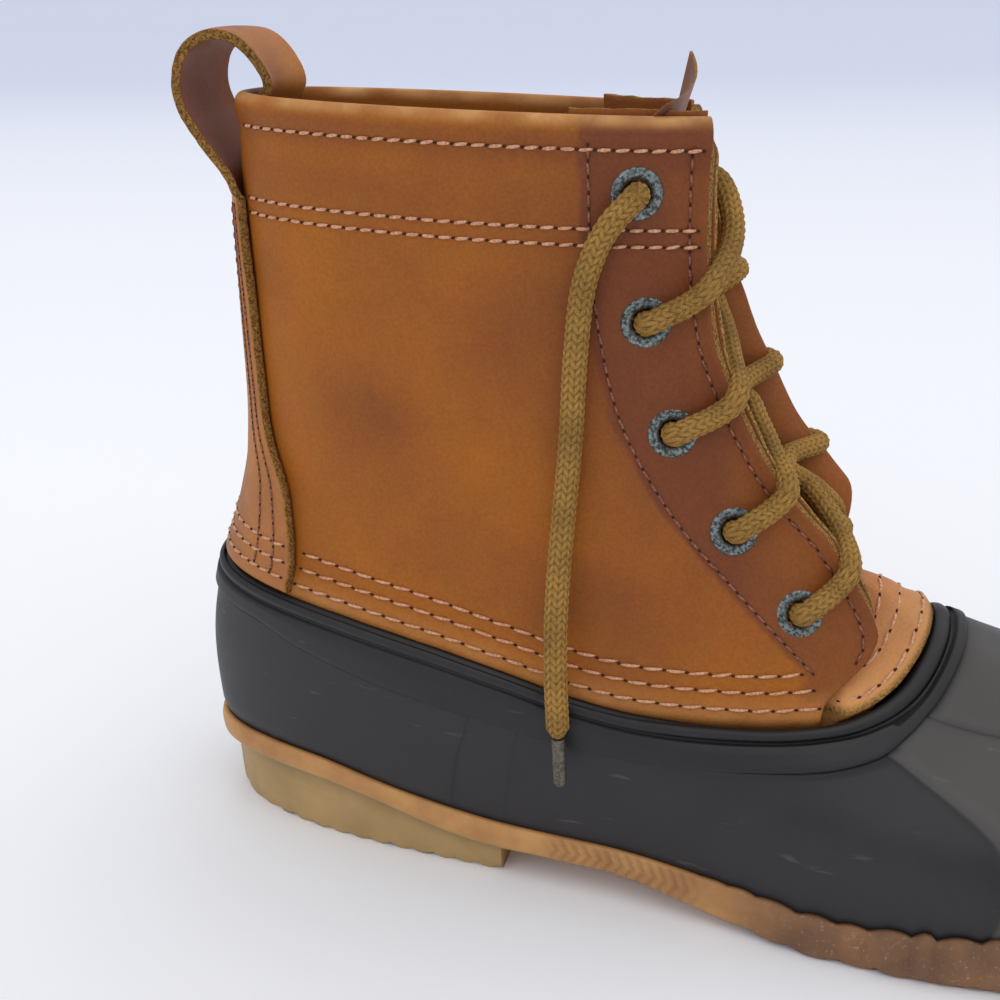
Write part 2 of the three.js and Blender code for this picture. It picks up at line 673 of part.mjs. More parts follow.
function makeStrap() {
  const fractions = [-1, -2 / 3, -1 / 3, 0, 1 / 3, 2 / 3, 1];
  const turnAt = (fraction, up) => (360 - fraction * read(strapEdge, "up", up, "turn")) % 360;
  const middle = strapSeat + strapThickness / 2;
  const outside = (fraction, up, out) => shaftFace(turnAt(fraction, up), up, middle + out);
  const inside = (fraction, up, out) => shaftFace(turnAt(fraction, up), up, -leather - middle - out);
  const topInside = 0.97;
  const start = outside(0, strapLeaves, 0);
  const end = inside(0, topInside, 0);
  const curve = loopCurve(start, end);
  const steps = 14;
  const free = (fraction, share, out) => {
    const centre = curve.getPoint(share);
    const tangent = curve.getTangent(share);
    const from = outside(fraction, strapLeaves, 0).sub(start);
    const to = inside(fraction, topInside, 0).sub(end);
    const flat = 1 - 0.85 * Math.sin(Math.PI * share) ** 0.5;
    return vec(
      centre.x + mix(from.x, to.x, share) * flat - tangent.z * out,
      mix(from.y, to.y, share),
      centre.z + mix(from.z, to.z, share) + tangent.x * out,
    );
  };
  const foot = 0.008;
  const ups = [foot, ...shaftLevels.filter((up) => up > foot && up < strapLeaves)];
  const stations = ups.map((up) => (fraction, out) => outside(fraction, up, out));
  for (let i = 0; i <= steps; i += 1) stations.push((fraction, out) => free(fraction, i / steps, out));
  stations.push((fraction, out) => inside(fraction, strapInside, out));
  const half = strapThickness / 2;
  const rows = [
    ...fractions.map((fraction) => stations.map((station) => station(fraction, half))),
    ...fractions.toReversed().map((fraction) => stations.map((station) => station(fraction, -half))),
  ];
  return wallOf(rows, false);
}

// Eyelets: a flanged ring through the leather, its axis on the surface's normal.
const eyeletSides = 12;

function eyeletFrames() {
  const frames = [];
  for (const side of ["lateral", "medial"]) {
    eyeletPlaces.forEach((place, i) => {
      const turn = side === "lateral" ? place.turn : 360 - place.turn;
      const normal = normalOf(shaftPoint, turn, place.up);
      const turned = new THREE.Quaternion().setFromUnitVectors(vec(0, 1, 0), normal);
      const centre = shaftPoint(turn, place.up);
      const matrix = new THREE.Matrix4().compose(centre, turned, vec(1, 1, 1));
      frames.push({ name: `eyelet_${side}_${i + 1}`, matrix, centre, normal });
    });
  }
  return frames;
}

function makeEyelet() {
  const bore = eyeletHole / 2;
  const barrel = bore + eyeletBarrel;
  const rim = eyeletDiameter / 2;
  const sag = 0.2; // the curved leather's rise into the inner washer
  const inner = -leather - seat - sag;
  const profile = [
    [bore, inner - 0.7],
    [rim - 1.2, inner - 0.7],
    [rim - 1.2, inner],
    [barrel, inner],
    [barrel, seat],
    [rim, seat],
    [rim - 1, seat + eyeletFlange],
    [bore + 0.3, seat + 0.8 * eyeletFlange],
  ];
  const points = [...profile, profile[0]].map(([radius, height]) => new THREE.Vector2(radius, height));
  const ring = new THREE.LatheGeometry(points, eyeletSides);
  ring.deleteAttribute("normal");
  ring.deleteAttribute("uv");
  const merged = mergeVertices(ring, 1e-4);
  merged.computeVertexNormals();
  return merged;
}

// Lace: a tube along a smooth curve through the points
function tubeOf(points, diameter, sides, steps) {
  const circle = [];
  for (let i = 0; i < sides; i += 1) {
    const angle = (i / sides) * 2 * Math.PI;
    circle.push(new THREE.Vector2(Math.cos(angle), Math.sin(angle)).multiplyScalar(diameter / 2));
  }
  const path = new THREE.CatmullRomCurve3(points);
  const tube = new THREE.ExtrudeGeometry(new THREE.Shape(circle), { extrudePath: path, steps });
  tube.deleteAttribute("normal");
  tube.deleteAttribute("uv");
  const merged = mergeVertices(tube, 1e-4);
  merged.computeVertexNormals();
  return merged;
}

// Crossings: up from the lowest eyelets in bars and slanting runs, in front of the throat
const laceBow = 0.6; // forward bow of a crossing, as a share of the last's own

function makeCrossings() {
  const lift = eyeletFlange + seat + laceDiameter / 2 + laceSeat;
  const frames = eyeletFrames();
  const at = (side, row) => frames[(side === "lateral" ? 0 : 5) + row - 1];
  const over = (side, row) => {
    const place = at(side, row);
    return place.centre.clone().addScaledVector(place.normal, lift);
  };
  const front = (up, share) => {
    const edge = read(throatEdge, "up", up, "turn");
    const out = laceDiameter / 2 + 2 * laceSeat;
    const point = shaftFace(mix(edge, 360 - edge, share), up, out);
    point.x = mix(shaftFace(edge, up, out).x, point.x, laceBow);
    return point;
  };
  const order = [
    ["lateral", 5],
    ["medial", 4],
    ["lateral", 4],
    ["medial", 3],
    ["lateral", 3],
    ["medial", 2],
    ["lateral", 2],
    ["medial", 1],
  ];
  const points = [];
  order.forEach(([side, row], i) => {
    const next = order[i + 1];
    if (!next) return;
    points.push(over(side, row));
    const from = eyeletPlaces[row - 1].up;
    const to = eyeletPlaces[next[1] - 1].up;
    for (const share of [0, 0.5, 1]) {
      const across = side === "lateral" ? share : 1 - share;
      points.push(front(mix(from, to, mix(0.25, 0.75, share)), across));
    }
  });
  return tubeOf(points, laceDiameter, 8, 60);
}

// Free ends of the lace, each from its top eyelet down the outside of the boot. The points are
// chosen by hand, along the middle of the lace.
const lateralEnd = [
  [76.1, -25.8, 172.0],
  [74.2, -26.1, 170.1],
  [71.0, -27.0, 166.6],
  [69.0, -27.3, 163.6],
  [67.4, -27.7, 160.4],
  [65.0, -28.7, 152.5],
  [63.7, -29.8, 140.0],
  [63.2, -30.4, 131.3],
  [62.9, -31.2, 122.5],
  [62.4, -32.4, 113.2],
  [61.8, -34.0, 104.0],
  [61.2, -37.8, 89.0],
  [61.3, -41.8, 76.0],
  [61.8, -44.3, 65.0],
  [62.2, -45.0, 57.0],
  [62.4, -45.0, 50.0],
];
const medialEnd = [
  [76.0, 23.2, 172.1],
  [74.2, 23.6, 170.4],
  [71.2, 24.7, 166.8],
  [69.4, 25.2, 163.7],
  [68.0, 25.7, 160.4],
  [66.0, 27.0, 152.5],
  [64.9, 28.6, 140.0],
  [64.5, 29.5, 131.3],
  [64.2, 30.7, 122.5],
  [63.8, 32.1, 113.2],
  [63.4, 33.8, 104.0],
  [63.0, 37.8, 89.0],
  [63.2, 41.8, 76.0],
  [63.6, 44.3, 65.0],
  [63.9, 45.0, 57.0],
  [64.0, 45.0, 50.0],
];
const endPoints = (list) => list.map(([x, y, z]) => vec(x, y, z));

function makeAglet(list) {
  const points = endPoints(list);
  const last = points[points.length - 1];
  const direction = last.clone().sub(points[points.length - 2]).normalize();
  const aglet = new THREE.CylinderGeometry(agletDiameter / 2, agletDiameter / 2, agletLength, 8);
  aglet.deleteAttribute("normal");
  aglet.deleteAttribute("uv");
  const merged = mergeVertices(aglet, 1e-4);
  merged.computeVertexNormals();
  const turned = new THREE.Quaternion().setFromUnitVectors(vec(0, 1, 0), direction);
  const centre = last.clone().addScaledVector(direction, seat + agletLength / 2);
  return merged.applyMatrix4(new THREE.Matrix4().compose(centre, turned, vec(1, 1, 1)));
}

// Finishes
const finish = (color, roughness, metalness = 0) =>
  new THREE.MeshStandardMaterial({ color, roughness, metalness });
const gumRubber = finish(0xb07a3e, 0.6);
const blackRubber = finish(0x2a2729, 0.45);
const oiledLeather = finish(0x9c5d24, 0.55);
const strapLeather = finish(0x8b5a45, 0.6);
const tongueHide = finish(0x7d625a, 0.65);
const insoleFelt = finish(0x6b6258, 0.9);
const antiqueMetal = finish(0x6e7a78, 0.4, 0.9);
const lacePolyester = finish(0xb99553, 0.85);
const tipMetal = finish(0x7a7672, 0.35, 0.9);

const boot = new THREE.Group();

function addPiece(name, geometry, material) {
  const mesh = new THREE.Mesh(geometry, material);
  mesh.name = name;
  boot.add(mesh);
  return mesh;
}

addPiece("outsole", makeOutsole(), gumRubber);
addPiece("rubber_shell", makeShell(), blackRubber);
addPiece("insole", makeInsole(), insoleFelt);
addPiece("leather_shaft", makeShaft(), oiledLeather);
addPiece("tongue", makeTongue(), tongueHide);
addPiece("back_strap", makeStrap(), strapLeather);
for (const place of eyeletFrames()) {
  addPiece(place.name, makeEyelet(), antiqueMetal).applyMatrix4(place.matrix);
}
addPiece("lace_crossings", makeCrossings(), lacePolyester);
addPiece("lace_end_lateral", tubeOf(endPoints(lateralEnd), laceDiameter, 8, 14), lacePolyester);
addPiece("lace_end_medial", tubeOf(endPoints(medialEnd), laceDiameter, 8, 14), lacePolyester);
addPiece("aglet_lateral", makeAglet(lateralEnd), tipMetal);
addPiece("aglet_medial", makeAglet(medialEnd), tipMetal);

export default boot;
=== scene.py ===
# Looks of a right duck boot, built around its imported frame: rubber lower, gum sole, leather
# shaft, tongue, back strap, eyelets, stitching and lace, with a plain studio stage.
# Form functions work in millimetres in the frame's own axes: +X toe, +Y inner side, +Z up.

import math

import bpy
import numpy as np
from mathutils import Matrix, Vector


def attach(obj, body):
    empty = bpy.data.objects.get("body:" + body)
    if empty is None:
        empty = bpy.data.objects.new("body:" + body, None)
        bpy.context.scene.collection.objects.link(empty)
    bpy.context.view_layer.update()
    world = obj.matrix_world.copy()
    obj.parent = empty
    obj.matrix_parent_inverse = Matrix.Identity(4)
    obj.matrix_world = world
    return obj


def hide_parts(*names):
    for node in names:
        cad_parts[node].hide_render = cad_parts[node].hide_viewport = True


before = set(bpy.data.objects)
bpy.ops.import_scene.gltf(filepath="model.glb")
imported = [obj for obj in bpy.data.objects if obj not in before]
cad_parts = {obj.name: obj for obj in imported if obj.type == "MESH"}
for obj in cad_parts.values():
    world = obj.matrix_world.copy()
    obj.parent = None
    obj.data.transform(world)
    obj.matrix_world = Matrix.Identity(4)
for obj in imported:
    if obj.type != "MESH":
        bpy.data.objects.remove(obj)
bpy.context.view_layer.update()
MM = 0.001

bl_info = {
    "name": "Duck boot",
    "version": (1, 0, 0),
    "blender": (4, 5, 0),
    "location": "View3D > Sidebar > Boot",
    "description": "Builds a laced duck boot with leather shaft, rubber lower and gum sole",
    "category": "Add Mesh",
}


# Sizes and colours that a user would change


def length(name, description, default):
    """A length in metres, shown in the scene's units."""
    return bpy.props.FloatProperty(name=name, description=description, default=default * MM, unit="LENGTH")


def linear(colour):
    """Turns an sRGB hex value to linear red, green and blue."""
    channels = [int(colour[i : i + 2], 16) / 255 for i in (1, 3, 5)]
    return [c / 12.92 if c <= 0.04045 else ((c + 0.055) / 1.055) ** 2.4 for c in channels]


def paint(name, description, default):
    """A colour, given as an sRGB hex value."""
    return bpy.props.FloatVectorProperty(
        name=name, description=description, default=linear(default), subtype="COLOR", size=3, min=0, max=1
    )


class BootSizes(bpy.types.PropertyGroup):
    sole_length: length("Sole length", "Back of the heel to the toe", 302)
    heel_centre: length("Heel centre", "Origin ahead of the sole's back edge", 45)
    ball_width: length("Ball width", "Outsole across the ball of the foot", 105)
    shaft_width: length("Shaft width", "Leather shaft where it leaves the rubber", 74)
    rim_height: length("Rim height", "Top of the rubber at the back", 75)
    collar_back: length("Collar, back", "Top of the leather at the back", 192.5)
    collar_front: length("Collar, front", "Top of the leather at the lacing", 186.5)
    heel_height: length("Heel height", "Floor to the gum band at the back", 20)
    arch_height: length("Arch height", "Floor to the sole at the waist", 8.5)
    toe_spring: length("Toe spring", "Floor to the sole at the toe", 11.5)
    gum_height: length("Gum height", "Top of the gum band at the back", 27)
    footbed: length("Footbed", "Floor to the foot's seat at the back", 23)
    gum_lip: length("Gum lip", "Thickness of the lip round the rubber", 1.5)
    rubber_wall: length("Rubber wall", "Wall of the rubber lower", 2.6)
    rubber_stand: length("Rubber stand", "Rubber's face outside the leather's", 3)
    leather: length("Leather", "Wall of the shaft", 2.2)
    tongue_leather: length("Tongue leather", "Wall of the tongue", 1.8)
    strap_thickness: length("Strap thickness", "Back strap and pull loop", 2.4)
    lace_diameter: length("Lace diameter", "Round braided lace", 5)
    eyelet_diameter: length("Eyelet diameter", "Flange of an eyelet", 11.3)
    eyelet_hole: length("Eyelet hole", "Bore of an eyelet", 6)
    stitch_pitch: length("Stitch pitch", "One stitch of a seam to the next", 3.3)


class BootColours(bpy.types.PropertyGroup):
    leather: paint("Leather", "Oiled tan leather", "#AC671E")
    leather_dark: paint("Burnished leather", "Leather darkened by oil and wear", "#7A4427")
    rubber: paint("Rubber", "Moulded black-brown rubber", "#141214")
    gum: paint("Gum band", "Orange gum rubber", "#CB9555")
    gum_block: paint("Gum heel", "Tan gum rubber of the heel block", "#B6935E")
    lace: paint("Lace", "Golden tan braid", "#A87B35")
    thread: paint("Thread", "Pale waxed thread", "#E2B08C")
    metal: paint("Eyelets", "Antique plated metal", "#8C9492")


def of_boot(name):
    """A size of the boot in millimetres."""
    return getattr(bpy.context.scene.boot_sizes, name) / MM


def dye(name):
    """A colour of the boot for a node's socket."""
    return (*getattr(bpy.context.scene.boot_colours, name), 1.0)


def tint(colour):
    """A fixed colour for a node's socket."""
    return (*linear(colour), 1.0)


# Sections of the last and of the pieces on it, as shares of the sizes above


def table(columns, *rows):
    """Sections of a form: named columns, the first of which says where each row lies."""
    return dict(zip(columns.split(), np.array(rows, float).T))


SOLE = table(
    "along lateral medial centre heel arch toe gum bed",
    (0.0, 0.76, 0.76, 0.0, 1.0, 0, 0, 1.0, 1.0), (0.12, 0.76, 0.75, 0.0, 0.92, 0, 0, 0.93, 0.94),
    (0.21, 0.75, 0.73, 0.0, 0.66, 0, 0, 0.74, 0.73), (0.3, 0.74, 0.68, 0.0, 0.0, 1.0, 0, 0.6, 0.53),
    (0.38, 0.74, 0.64, 0.0, 0.0, 0.93, 0, 0.56, 0.47),
    (0.5, 0.85, 0.74, 0.02, 0.0, 0.24, 0, 0.47, 0.36), (0.56, 0.94, 0.84, 0.04, 0.0, 0, 0, 0.41, 0.32),
    (0.68, 1.04, 0.935, 0.075, 0.0, 0, 0, 0.49, 0.325),
    (0.74, 1.05, 0.93, 0.1, 0.0, 0, 0.07, 0.57, 0.355),
    (0.8, 1.03, 0.88, 0.12, 0.0, 0, 0.24, 0.66, 0.42), (0.9, 0.95, 0.8, 0.14, 0.0, 0, 0.58, 0.83, 0.58),
    (1.0, 0.85, 0.72, 0.15, 0.0, 0, 1.0, 1.0, 0.76),
)
RIM = table(
    "turn height band",
    (0, 1.0, 0.12), (37, 0.962, 0.12), (53, 0.94, 0.18), (72.5, 0.887, 0.225), (87, 0.821, 0.215),
    (98, 0.757, 0.195), (108, 0.72, 0.17), (120, 0.704, 0.15), (131, 0.696, 0.145), (140, 0.701, 0.13),
    (149, 0.727, 0.1), (158, 0.775, 0.08), (166, 0.845, 0.075), (173, 0.905, 0.075),
    (180, 0.935, 0.075),
)
SHAFT = table(
    "up back front lateral medial",
    (-0.05, 0.028, 0.613, 0.965, 0.93), (0.0, 0.025, 0.619, 1.0, 1.0), (0.06, 0.034, 0.611, 0.97, 0.97),
    (0.15, 0.046, 0.589, 0.92, 0.92), (0.25, 0.056, 0.56, 0.87, 0.87), (0.4, 0.061, 0.522, 0.81, 0.8),
    (0.55, 0.062, 0.495, 0.775, 0.75), (0.75, 0.064, 0.474, 0.74, 0.68), (1.0, 0.068, 0.4635, 0.7, 0.6),
)
THROAT = table(
    "up turn",
    (-0.05, 139), (0.0, 139.5), (0.03, 141), (0.05, 146), (0.07, 153), (0.095, 158.5), (0.16, 160.5),
    (0.25, 160.4), (0.32, 157.5), (0.4, 154), (0.49, 151.6), (0.57, 149.5), (0.635, 148.3), (0.76, 149),
    (1.0, 153),
)
STRAP = table(
    "up turn",
    (0.0, 45.5), (0.08, 44), (0.2, 39.5), (0.36, 29.5), (0.58, 27.5), (0.82, 23.3), (1.0, 23),
)
EYELETS = ((0.883, 130.7), (0.68, 130.4), (0.497, 131.3), (0.328, 137.6), (0.18, 143.6))
SEAMS = table(
    "rise rear front lower upper",
    (0.0, 80, 87.3, 131, 168), (0.25, 81.2, 88.4, 133.5, 167), (0.5, 82.4, 89.2, 137, 165),
    (0.75, 82.9, 90, 140.5, 161.5), (0.9, 83, 90.3, 143, 156.5), (1.0, 83, 90.4, 145, 155),
)
TONGUE = table(
    "up reach crown lean",
    (-0.05, 52, 1.0, 0), (0.08, 50, 1.0, 0), (0.14, 46, 0.85, 0), (0.27, 48, 0.6, 0), (0.4, 50, 0.5, 0),
    (0.6, 53, 0.42, 0), (0.8, 55, 0.4, 2), (1.0, 56, 0.12, 10.3),
)
# Line along the medial eyelets in front of which the flap's margin bends outwards
FLAP_FOLD = table(
    "up turn",
    (-0.05, 130), (0.0, 131), (0.1, 138), (0.18, 143.6), (0.328, 137.6), (0.497, 131.3), (0.68, 130.4),
    (1.0, 130.7),
)
FLAP_AHEAD = 5.9
FLAP_RADIUS = 8
FLAP_ANGLE = 85
LATERAL_MARGIN = 5
LATERAL_RADIUS = 4
LATERAL_ANGLE = 42
SOLE_ROUND = 0.25
SHAFT_ROUND = 0.75
SEAT = 0.3
LIP_SEAT = 0.45
TONGUE_SEAT = 0.6
TONGUE_ROOM = 7.5
TONGUE_LEAN = 2.5
TONGUE_RISE = 6.5
TONGUE_TILT = 4.5
CRESCENT_FLARE = 3.3
STRAP_SEAT = 0.5


def mix(a, b, share):
    return a + (b - a) * share


def smooth(value, start, end):
    share = np.clip((value - start) / (end - start), 0, 1)
    return share * share * (3 - 2 * share)


def read(sections, at, column):
    """A column's value along a smooth curve through its rows that never overshoots."""
    keys = next(iter(sections.values()))
    values = sections[column]
    step = np.diff(keys)
    slope = np.diff(values) / step
    product = slope[:-1] * slope[1:]
    total = np.where(product > 0, slope[:-1] + slope[1:], 1)
    inner = np.where(product > 0, 2 * product / total, 0)
    tangent = np.concatenate([slope[:1], inner, slope[-1:]])
    x = np.clip(at, keys[0], keys[-1])
    i = np.clip(np.searchsorted(keys, x, side="right") - 1, 0, len(step) - 1)
    t = (x - keys[i]) / step[i]
    low = (1 + 2 * t) * (1 - t) ** 2 * values[i] + t * (1 - t) ** 2 * step[i] * tangent[i]
    return low + t * t * (3 - 2 * t) * values[i + 1] + t * t * (t - 1) * step[i] * tangent[i + 1]


def vectors(*parts):
    return np.stack(np.broadcast_arrays(*parts), axis=-1).astype(float)


def along_normal(points, normals, out):
    return points + normals * np.asarray(out, float)[..., None]


def unit(directions):
    return directions / np.maximum(np.linalg.norm(directions, axis=-1, keepdims=True), 1e-12)


def run_along(points):
    """Distances along a line of points from its start."""
    return np.concatenate([[0], np.cumsum(np.linalg.norm(np.diff(points, axis=0), axis=-1))])


def at_run(place, run, points):
    """Points, or other vectors, at places along a run."""
    return np.stack([np.interp(place, run, points[:, i]) for i in range(3)], axis=-1)


def around(turn):
    """Side, half turn and share of the length at a turn round the boot, 0 at the back."""
    turn = np.asarray(turn, float) % 360
    half = np.where(turn <= 180, turn, 360 - turn)
    return np.where(turn <= 180, -1.0, 1.0), half, (1 - np.cos(np.radians(half))) / 2


def sided(sections, at, side):
    return np.where(side < 0, read(sections, at, "lateral"), read(sections, at, "medial"))


def sole_outline(along, side):
    t = np.clip(along, 0, 1)
    spread = sided(SOLE, t, side) * (4 * t * (1 - t)) ** SOLE_ROUND
    y = (read(SOLE, t, "centre") + side * spread) * of_boot("ball_width") / 2
    return vectors(t * of_boot("sole_length") - of_boot("heel_centre"), y, 0)


def sole_outward(along, side):
    step = 1e-3
    run = sole_outline(along + step, side) - sole_outline(along - step, side)
    back = along < 2 * step
    toe = along > 1 - 2 * step
    run_x = np.where(back | toe, 0, run[..., 0])
    run_y = np.where(back, side, np.where(toe, -side, run[..., 1]))
    return unit(vectors(-side * run_y, side * run_x, 0))


def sole_inset(along, side, inset):
    return along_normal(sole_outline(along, side), sole_outward(along, side), -np.asarray(inset, float))


def sole_share(along):
    return along * (0.58 + 0.42 * along**3)


def bed_height(share):
    return read(SOLE, share, "bed") * of_boot("footbed")


def gum_top(share):
    return read(SOLE, share, "gum") * of_boot("gum_height")


def underside(share):
    sizes = (("heel", "heel_height"), ("arch", "arch_height"), ("toe", "toe_spring"))
    return sum(read(SOLE, share, column) * of_boot(size) for column, size in sizes)


def rim_at(half):
    return read(RIM, half, "height") * of_boot("rim_height")


def collar_at(along):
    return mix(of_boot("collar_back"), of_boot("collar_front"), along)


def shaft_point(turn, up):
    side, half, along = around(turn)
    back = read(SHAFT, up, "back") * of_boot("sole_length")
    front = read(SHAFT, up, "front") * of_boot("sole_length")
    width = sided(SHAFT, up, side) * of_boot("shaft_width") / 2
    y = side * width * np.sin(np.radians(half)) ** SHAFT_ROUND
    z = mix(rim_at(half), collar_at(along), up)
    return vectors(mix(back, front, along) - of_boot("heel_centre"), y, z)


def normal_of(surface, turn, share):
    across = surface(turn + 0.5, share) - surface(turn - 0.5, share)
    upward = surface(turn, share + 0.01) - surface(turn, share - 0.01)
    return unit(np.cross(across, upward))


def last_face(turn, up, out):
    return along_normal(shaft_point(turn, up), normal_of(shaft_point, turn, up), out)


def shaft_face(turn, up, out):
    """The leather's face: as the last, but the flaps' free margins turn outwards, the lateral
    one a little and the medial one widely."""
    plain = last_face(turn, up, out)
    side, half, _ = around(turn)
    lateral = side < 0
    edge = read(THROAT, up, "turn")
    fold = read(FLAP_FOLD, up, "turn")

    def at(place):
        return shaft_point(np.where(lateral, place, 360 - place), up)

    step = 0.5
    per_degree = np.linalg.norm(at(fold + step) - at(fold), axis=-1) / step
    medial_start = np.minimum(fold + FLAP_AHEAD / per_degree, edge - 0.1)
    start = np.where(lateral, edge - LATERAL_MARGIN / per_degree, medial_start)
    here = at(start)
    ahead = unit(at(start + step) - here)
    outward = normal_of(shaft_point, np.where(lateral, start, 360 - start), up)
    short = mix(0.25, 1, smooth(up, 0.15, 0.28)) * mix(1, 0.3, smooth(up, 0.78, 0.95))
    run = np.maximum(half - start, 0) * per_degree * np.where(lateral, 1, short)
    wide = FLAP_ANGLE * (1 - smooth(up, 0.55, 0.82)) * smooth(up, 0.02, 0.09)
    slight = LATERAL_ANGLE * (1 - smooth(up, 0.93, 0.99)) * smooth(up, 0.05, 0.16)
    radius = np.where(lateral, LATERAL_RADIUS, FLAP_RADIUS)
    bend = np.minimum(run / radius, np.radians(np.where(lateral, slight, wide)))
    rest = run - bend * radius
    out = np.asarray(out, float)
    forward = radius * np.sin(bend) + rest * np.cos(bend) - out * np.sin(bend)
    aside = radius * (1 - np.cos(bend)) + rest * np.sin(bend) + out * np.cos(bend)
    folded = here + ahead * forward[..., None] + outward * aside[..., None]
    return np.where((run > 0)[..., None], folded, plain)


def shell_point(turn, rise):
    side, half, along = around(turn)
    share = sole_share(along)
    start = sole_inset(share, side, of_boot("gum_lip") + SEAT)
    start[..., 2] = bed_height(share)
    end = last_face(turn, 0, of_boot("rubber_stand"))
    reach = (start - end) * (1, 1, 0)
    height = (end - start)[..., 2]
    spread = np.linalg.norm(reach, axis=-1)
    flat = spread / (spread + height)
    angle = np.radians(half)
    outward = vectors(-np.cos(angle), side * np.sin(angle), 0)
    lower = start + outward * 2.5
    lower[..., 2] += height * (0.6 + 0.16 * flat)
    upper = end + reach * 0.52 + outward * 1.5
    upper[..., 2] -= height * (0.33 + 0.24 * flat)
    rise = np.asarray(rise, float)[..., None]
    left = 1 - rise
    return start * left**3 + lower * 3 * left**2 * rise + upper * 3 * left * rise**2 + end * rise**3


def shell_face(turn, rise, out):
    return along_normal(shell_point(turn, rise), normal_of(shell_point, turn, np.clip(rise, 0.02, 0.98)), out)


def shell_length(turn):
    """Length of the rubber's face from the sole to the rim."""
    steps = np.linspace(0, 1, 13)
    points = [shell_point(turn, np.full(np.shape(turn), step)) for step in steps]
    return sum(np.linalg.norm(b - a, axis=-1) for a, b in zip(points, points[1:]))


def rise_at_height(turn, height):
    low = np.zeros(np.shape(turn))
    high = np.ones(np.shape(turn))
    for _ in range(20):
        middle = (low + high) / 2
        below = shell_point(turn, middle)[..., 2] < height
        low = np.where(below, middle, low)
        high = np.where(below, high, middle)
    return low


def gum_rise(turn):
    return rise_at_height(turn, gum_top(sole_share(around(turn)[2])))


def at_rim(up):
    """How near the leather's foot is to the rubber's rim, over which it turns out a little."""
    return smooth(up, -0.02, 0.003) * (1 - smooth(up, 0.008, 0.05))


def tongue_point(share, up, out):
    """The tongue's face: under the flaps it leaves room for the lace, between them it crowns
    forward, and its foot is the crescent that lies on the rubber's rim."""
    level = np.minimum(up, 1.0)
    reach = read(TONGUE, level, "reach")
    throat = read(THROAT, level, "turn")
    bare = smooth(180 - np.abs(share) * reach, throat + 2, throat + 6)
    lace_room = TONGUE_ROOM * (1 - smooth(level, 0.9, 1.02))
    seat = of_boot("leather") + TONGUE_SEAT
    under = seat + lace_room * smooth(level, 0.07, 0.18)
    crescent = mix(SEAT, seat + lace_room, smooth(level, 0.0, 0.18)) - CRESCENT_FLARE * at_rim(level)
    depth = mix(under, crescent, bare)
    point = last_face(180 + share * reach, level, out - depth)
    edge = last_face(180 + reach, level, out - depth)
    point[..., 0] = mix(edge[..., 0], point[..., 0], read(TONGUE, level, "crown")) + read(TONGUE, level, "lean")
    above = np.maximum(up - 1, 0)
    return point + vectors(above * TONGUE_LEAN, 0, above * (TONGUE_RISE + TONGUE_TILT * share))


def waves(points, size, seed):
    """Soft irregular waves over a surface, from -1 to 1, about size millimetres long."""
    random = np.random.default_rng(seed)
    total = np.zeros(points.shape[:-1])
    for _ in range(7):
        direction = unit(random.normal(size=3))
        pitch = size * random.uniform(0.7, 1.4)
        total += np.sin(points @ direction * math.tau / pitch + random.uniform(0, math.tau))
    return total / 4


# Making meshes


def select_only(piece):
    bpy.ops.object.select_all(action="DESELECT")
    piece.select_set(True)
    bpy.context.view_layer.objects.active = piece


def lay_grid(name, points, marks=None, ring=False, loop=False):
    """A grid primitive laid over points[row, column]. ring joins its first and last column,
    loop its first and last row, and marks are attributes of its points."""

    def joined(values):
        values = np.concatenate([values, values[:1]]) if loop else values
        return np.concatenate([values, values[:, :1]], axis=1) if ring else values

    marks = {key: joined(np.broadcast_to(value, points.shape[:2])) for key, value in (marks or {}).items()}
    points = joined(points)
    rows, columns = points.shape[:2]
    bpy.ops.object.select_all(action="DESELECT")
    bpy.ops.mesh.primitive_grid_add(
        x_subdivisions=columns - 1, y_subdivisions=rows - 1, size=1, location=(0, 0, 0)
    )
    piece = bpy.context.object
    piece.name = piece.data.name = name
    piece.data.vertices.foreach_set("co", (points * MM).reshape(-1))
    for key, value in marks.items():
        mark = piece.data.attributes.new(key, "FLOAT", "POINT")
        mark.data.foreach_set("value", np.ascontiguousarray(value, dtype=float).reshape(-1))
    bpy.ops.object.mode_set(mode="EDIT")
    bpy.ops.mesh.select_all(action="SELECT")
    bpy.ops.mesh.remove_doubles(threshold=2e-6)
    bpy.ops.mesh.normals_make_consistent(inside=False)
    bpy.ops.object.mode_set(mode="OBJECT")
    bpy.ops.object.shade_smooth()
    return piece


CUT_EDGE = ((0.0, 0.0), (0.0, 0.82), (0.22, 1.0))
FOLD_EDGE = tuple((1 - math.cos(a), math.sin(a)) for a in np.linspace(0, math.pi / 2, 7))


def edge_steps(low, high, count, start, end, size, spacing=None):
    """Places across a wall and its thickness there: an even run with an edge at each end.
    start and end list depths in from the edge and shares of the thickness; size turns a
    depth to the run's own units."""
    inner = np.linspace(low, high, count) if spacing is None else spacing
    first = [(low + depth * size, share) for depth, share in start]
    last = [(high - depth * size, share) for depth, share in reversed(end)]
    middle = [(place, 1.0) for place in inner if first[-1][0] < place < last[0][0]]
    return np.array(first + middle + last)


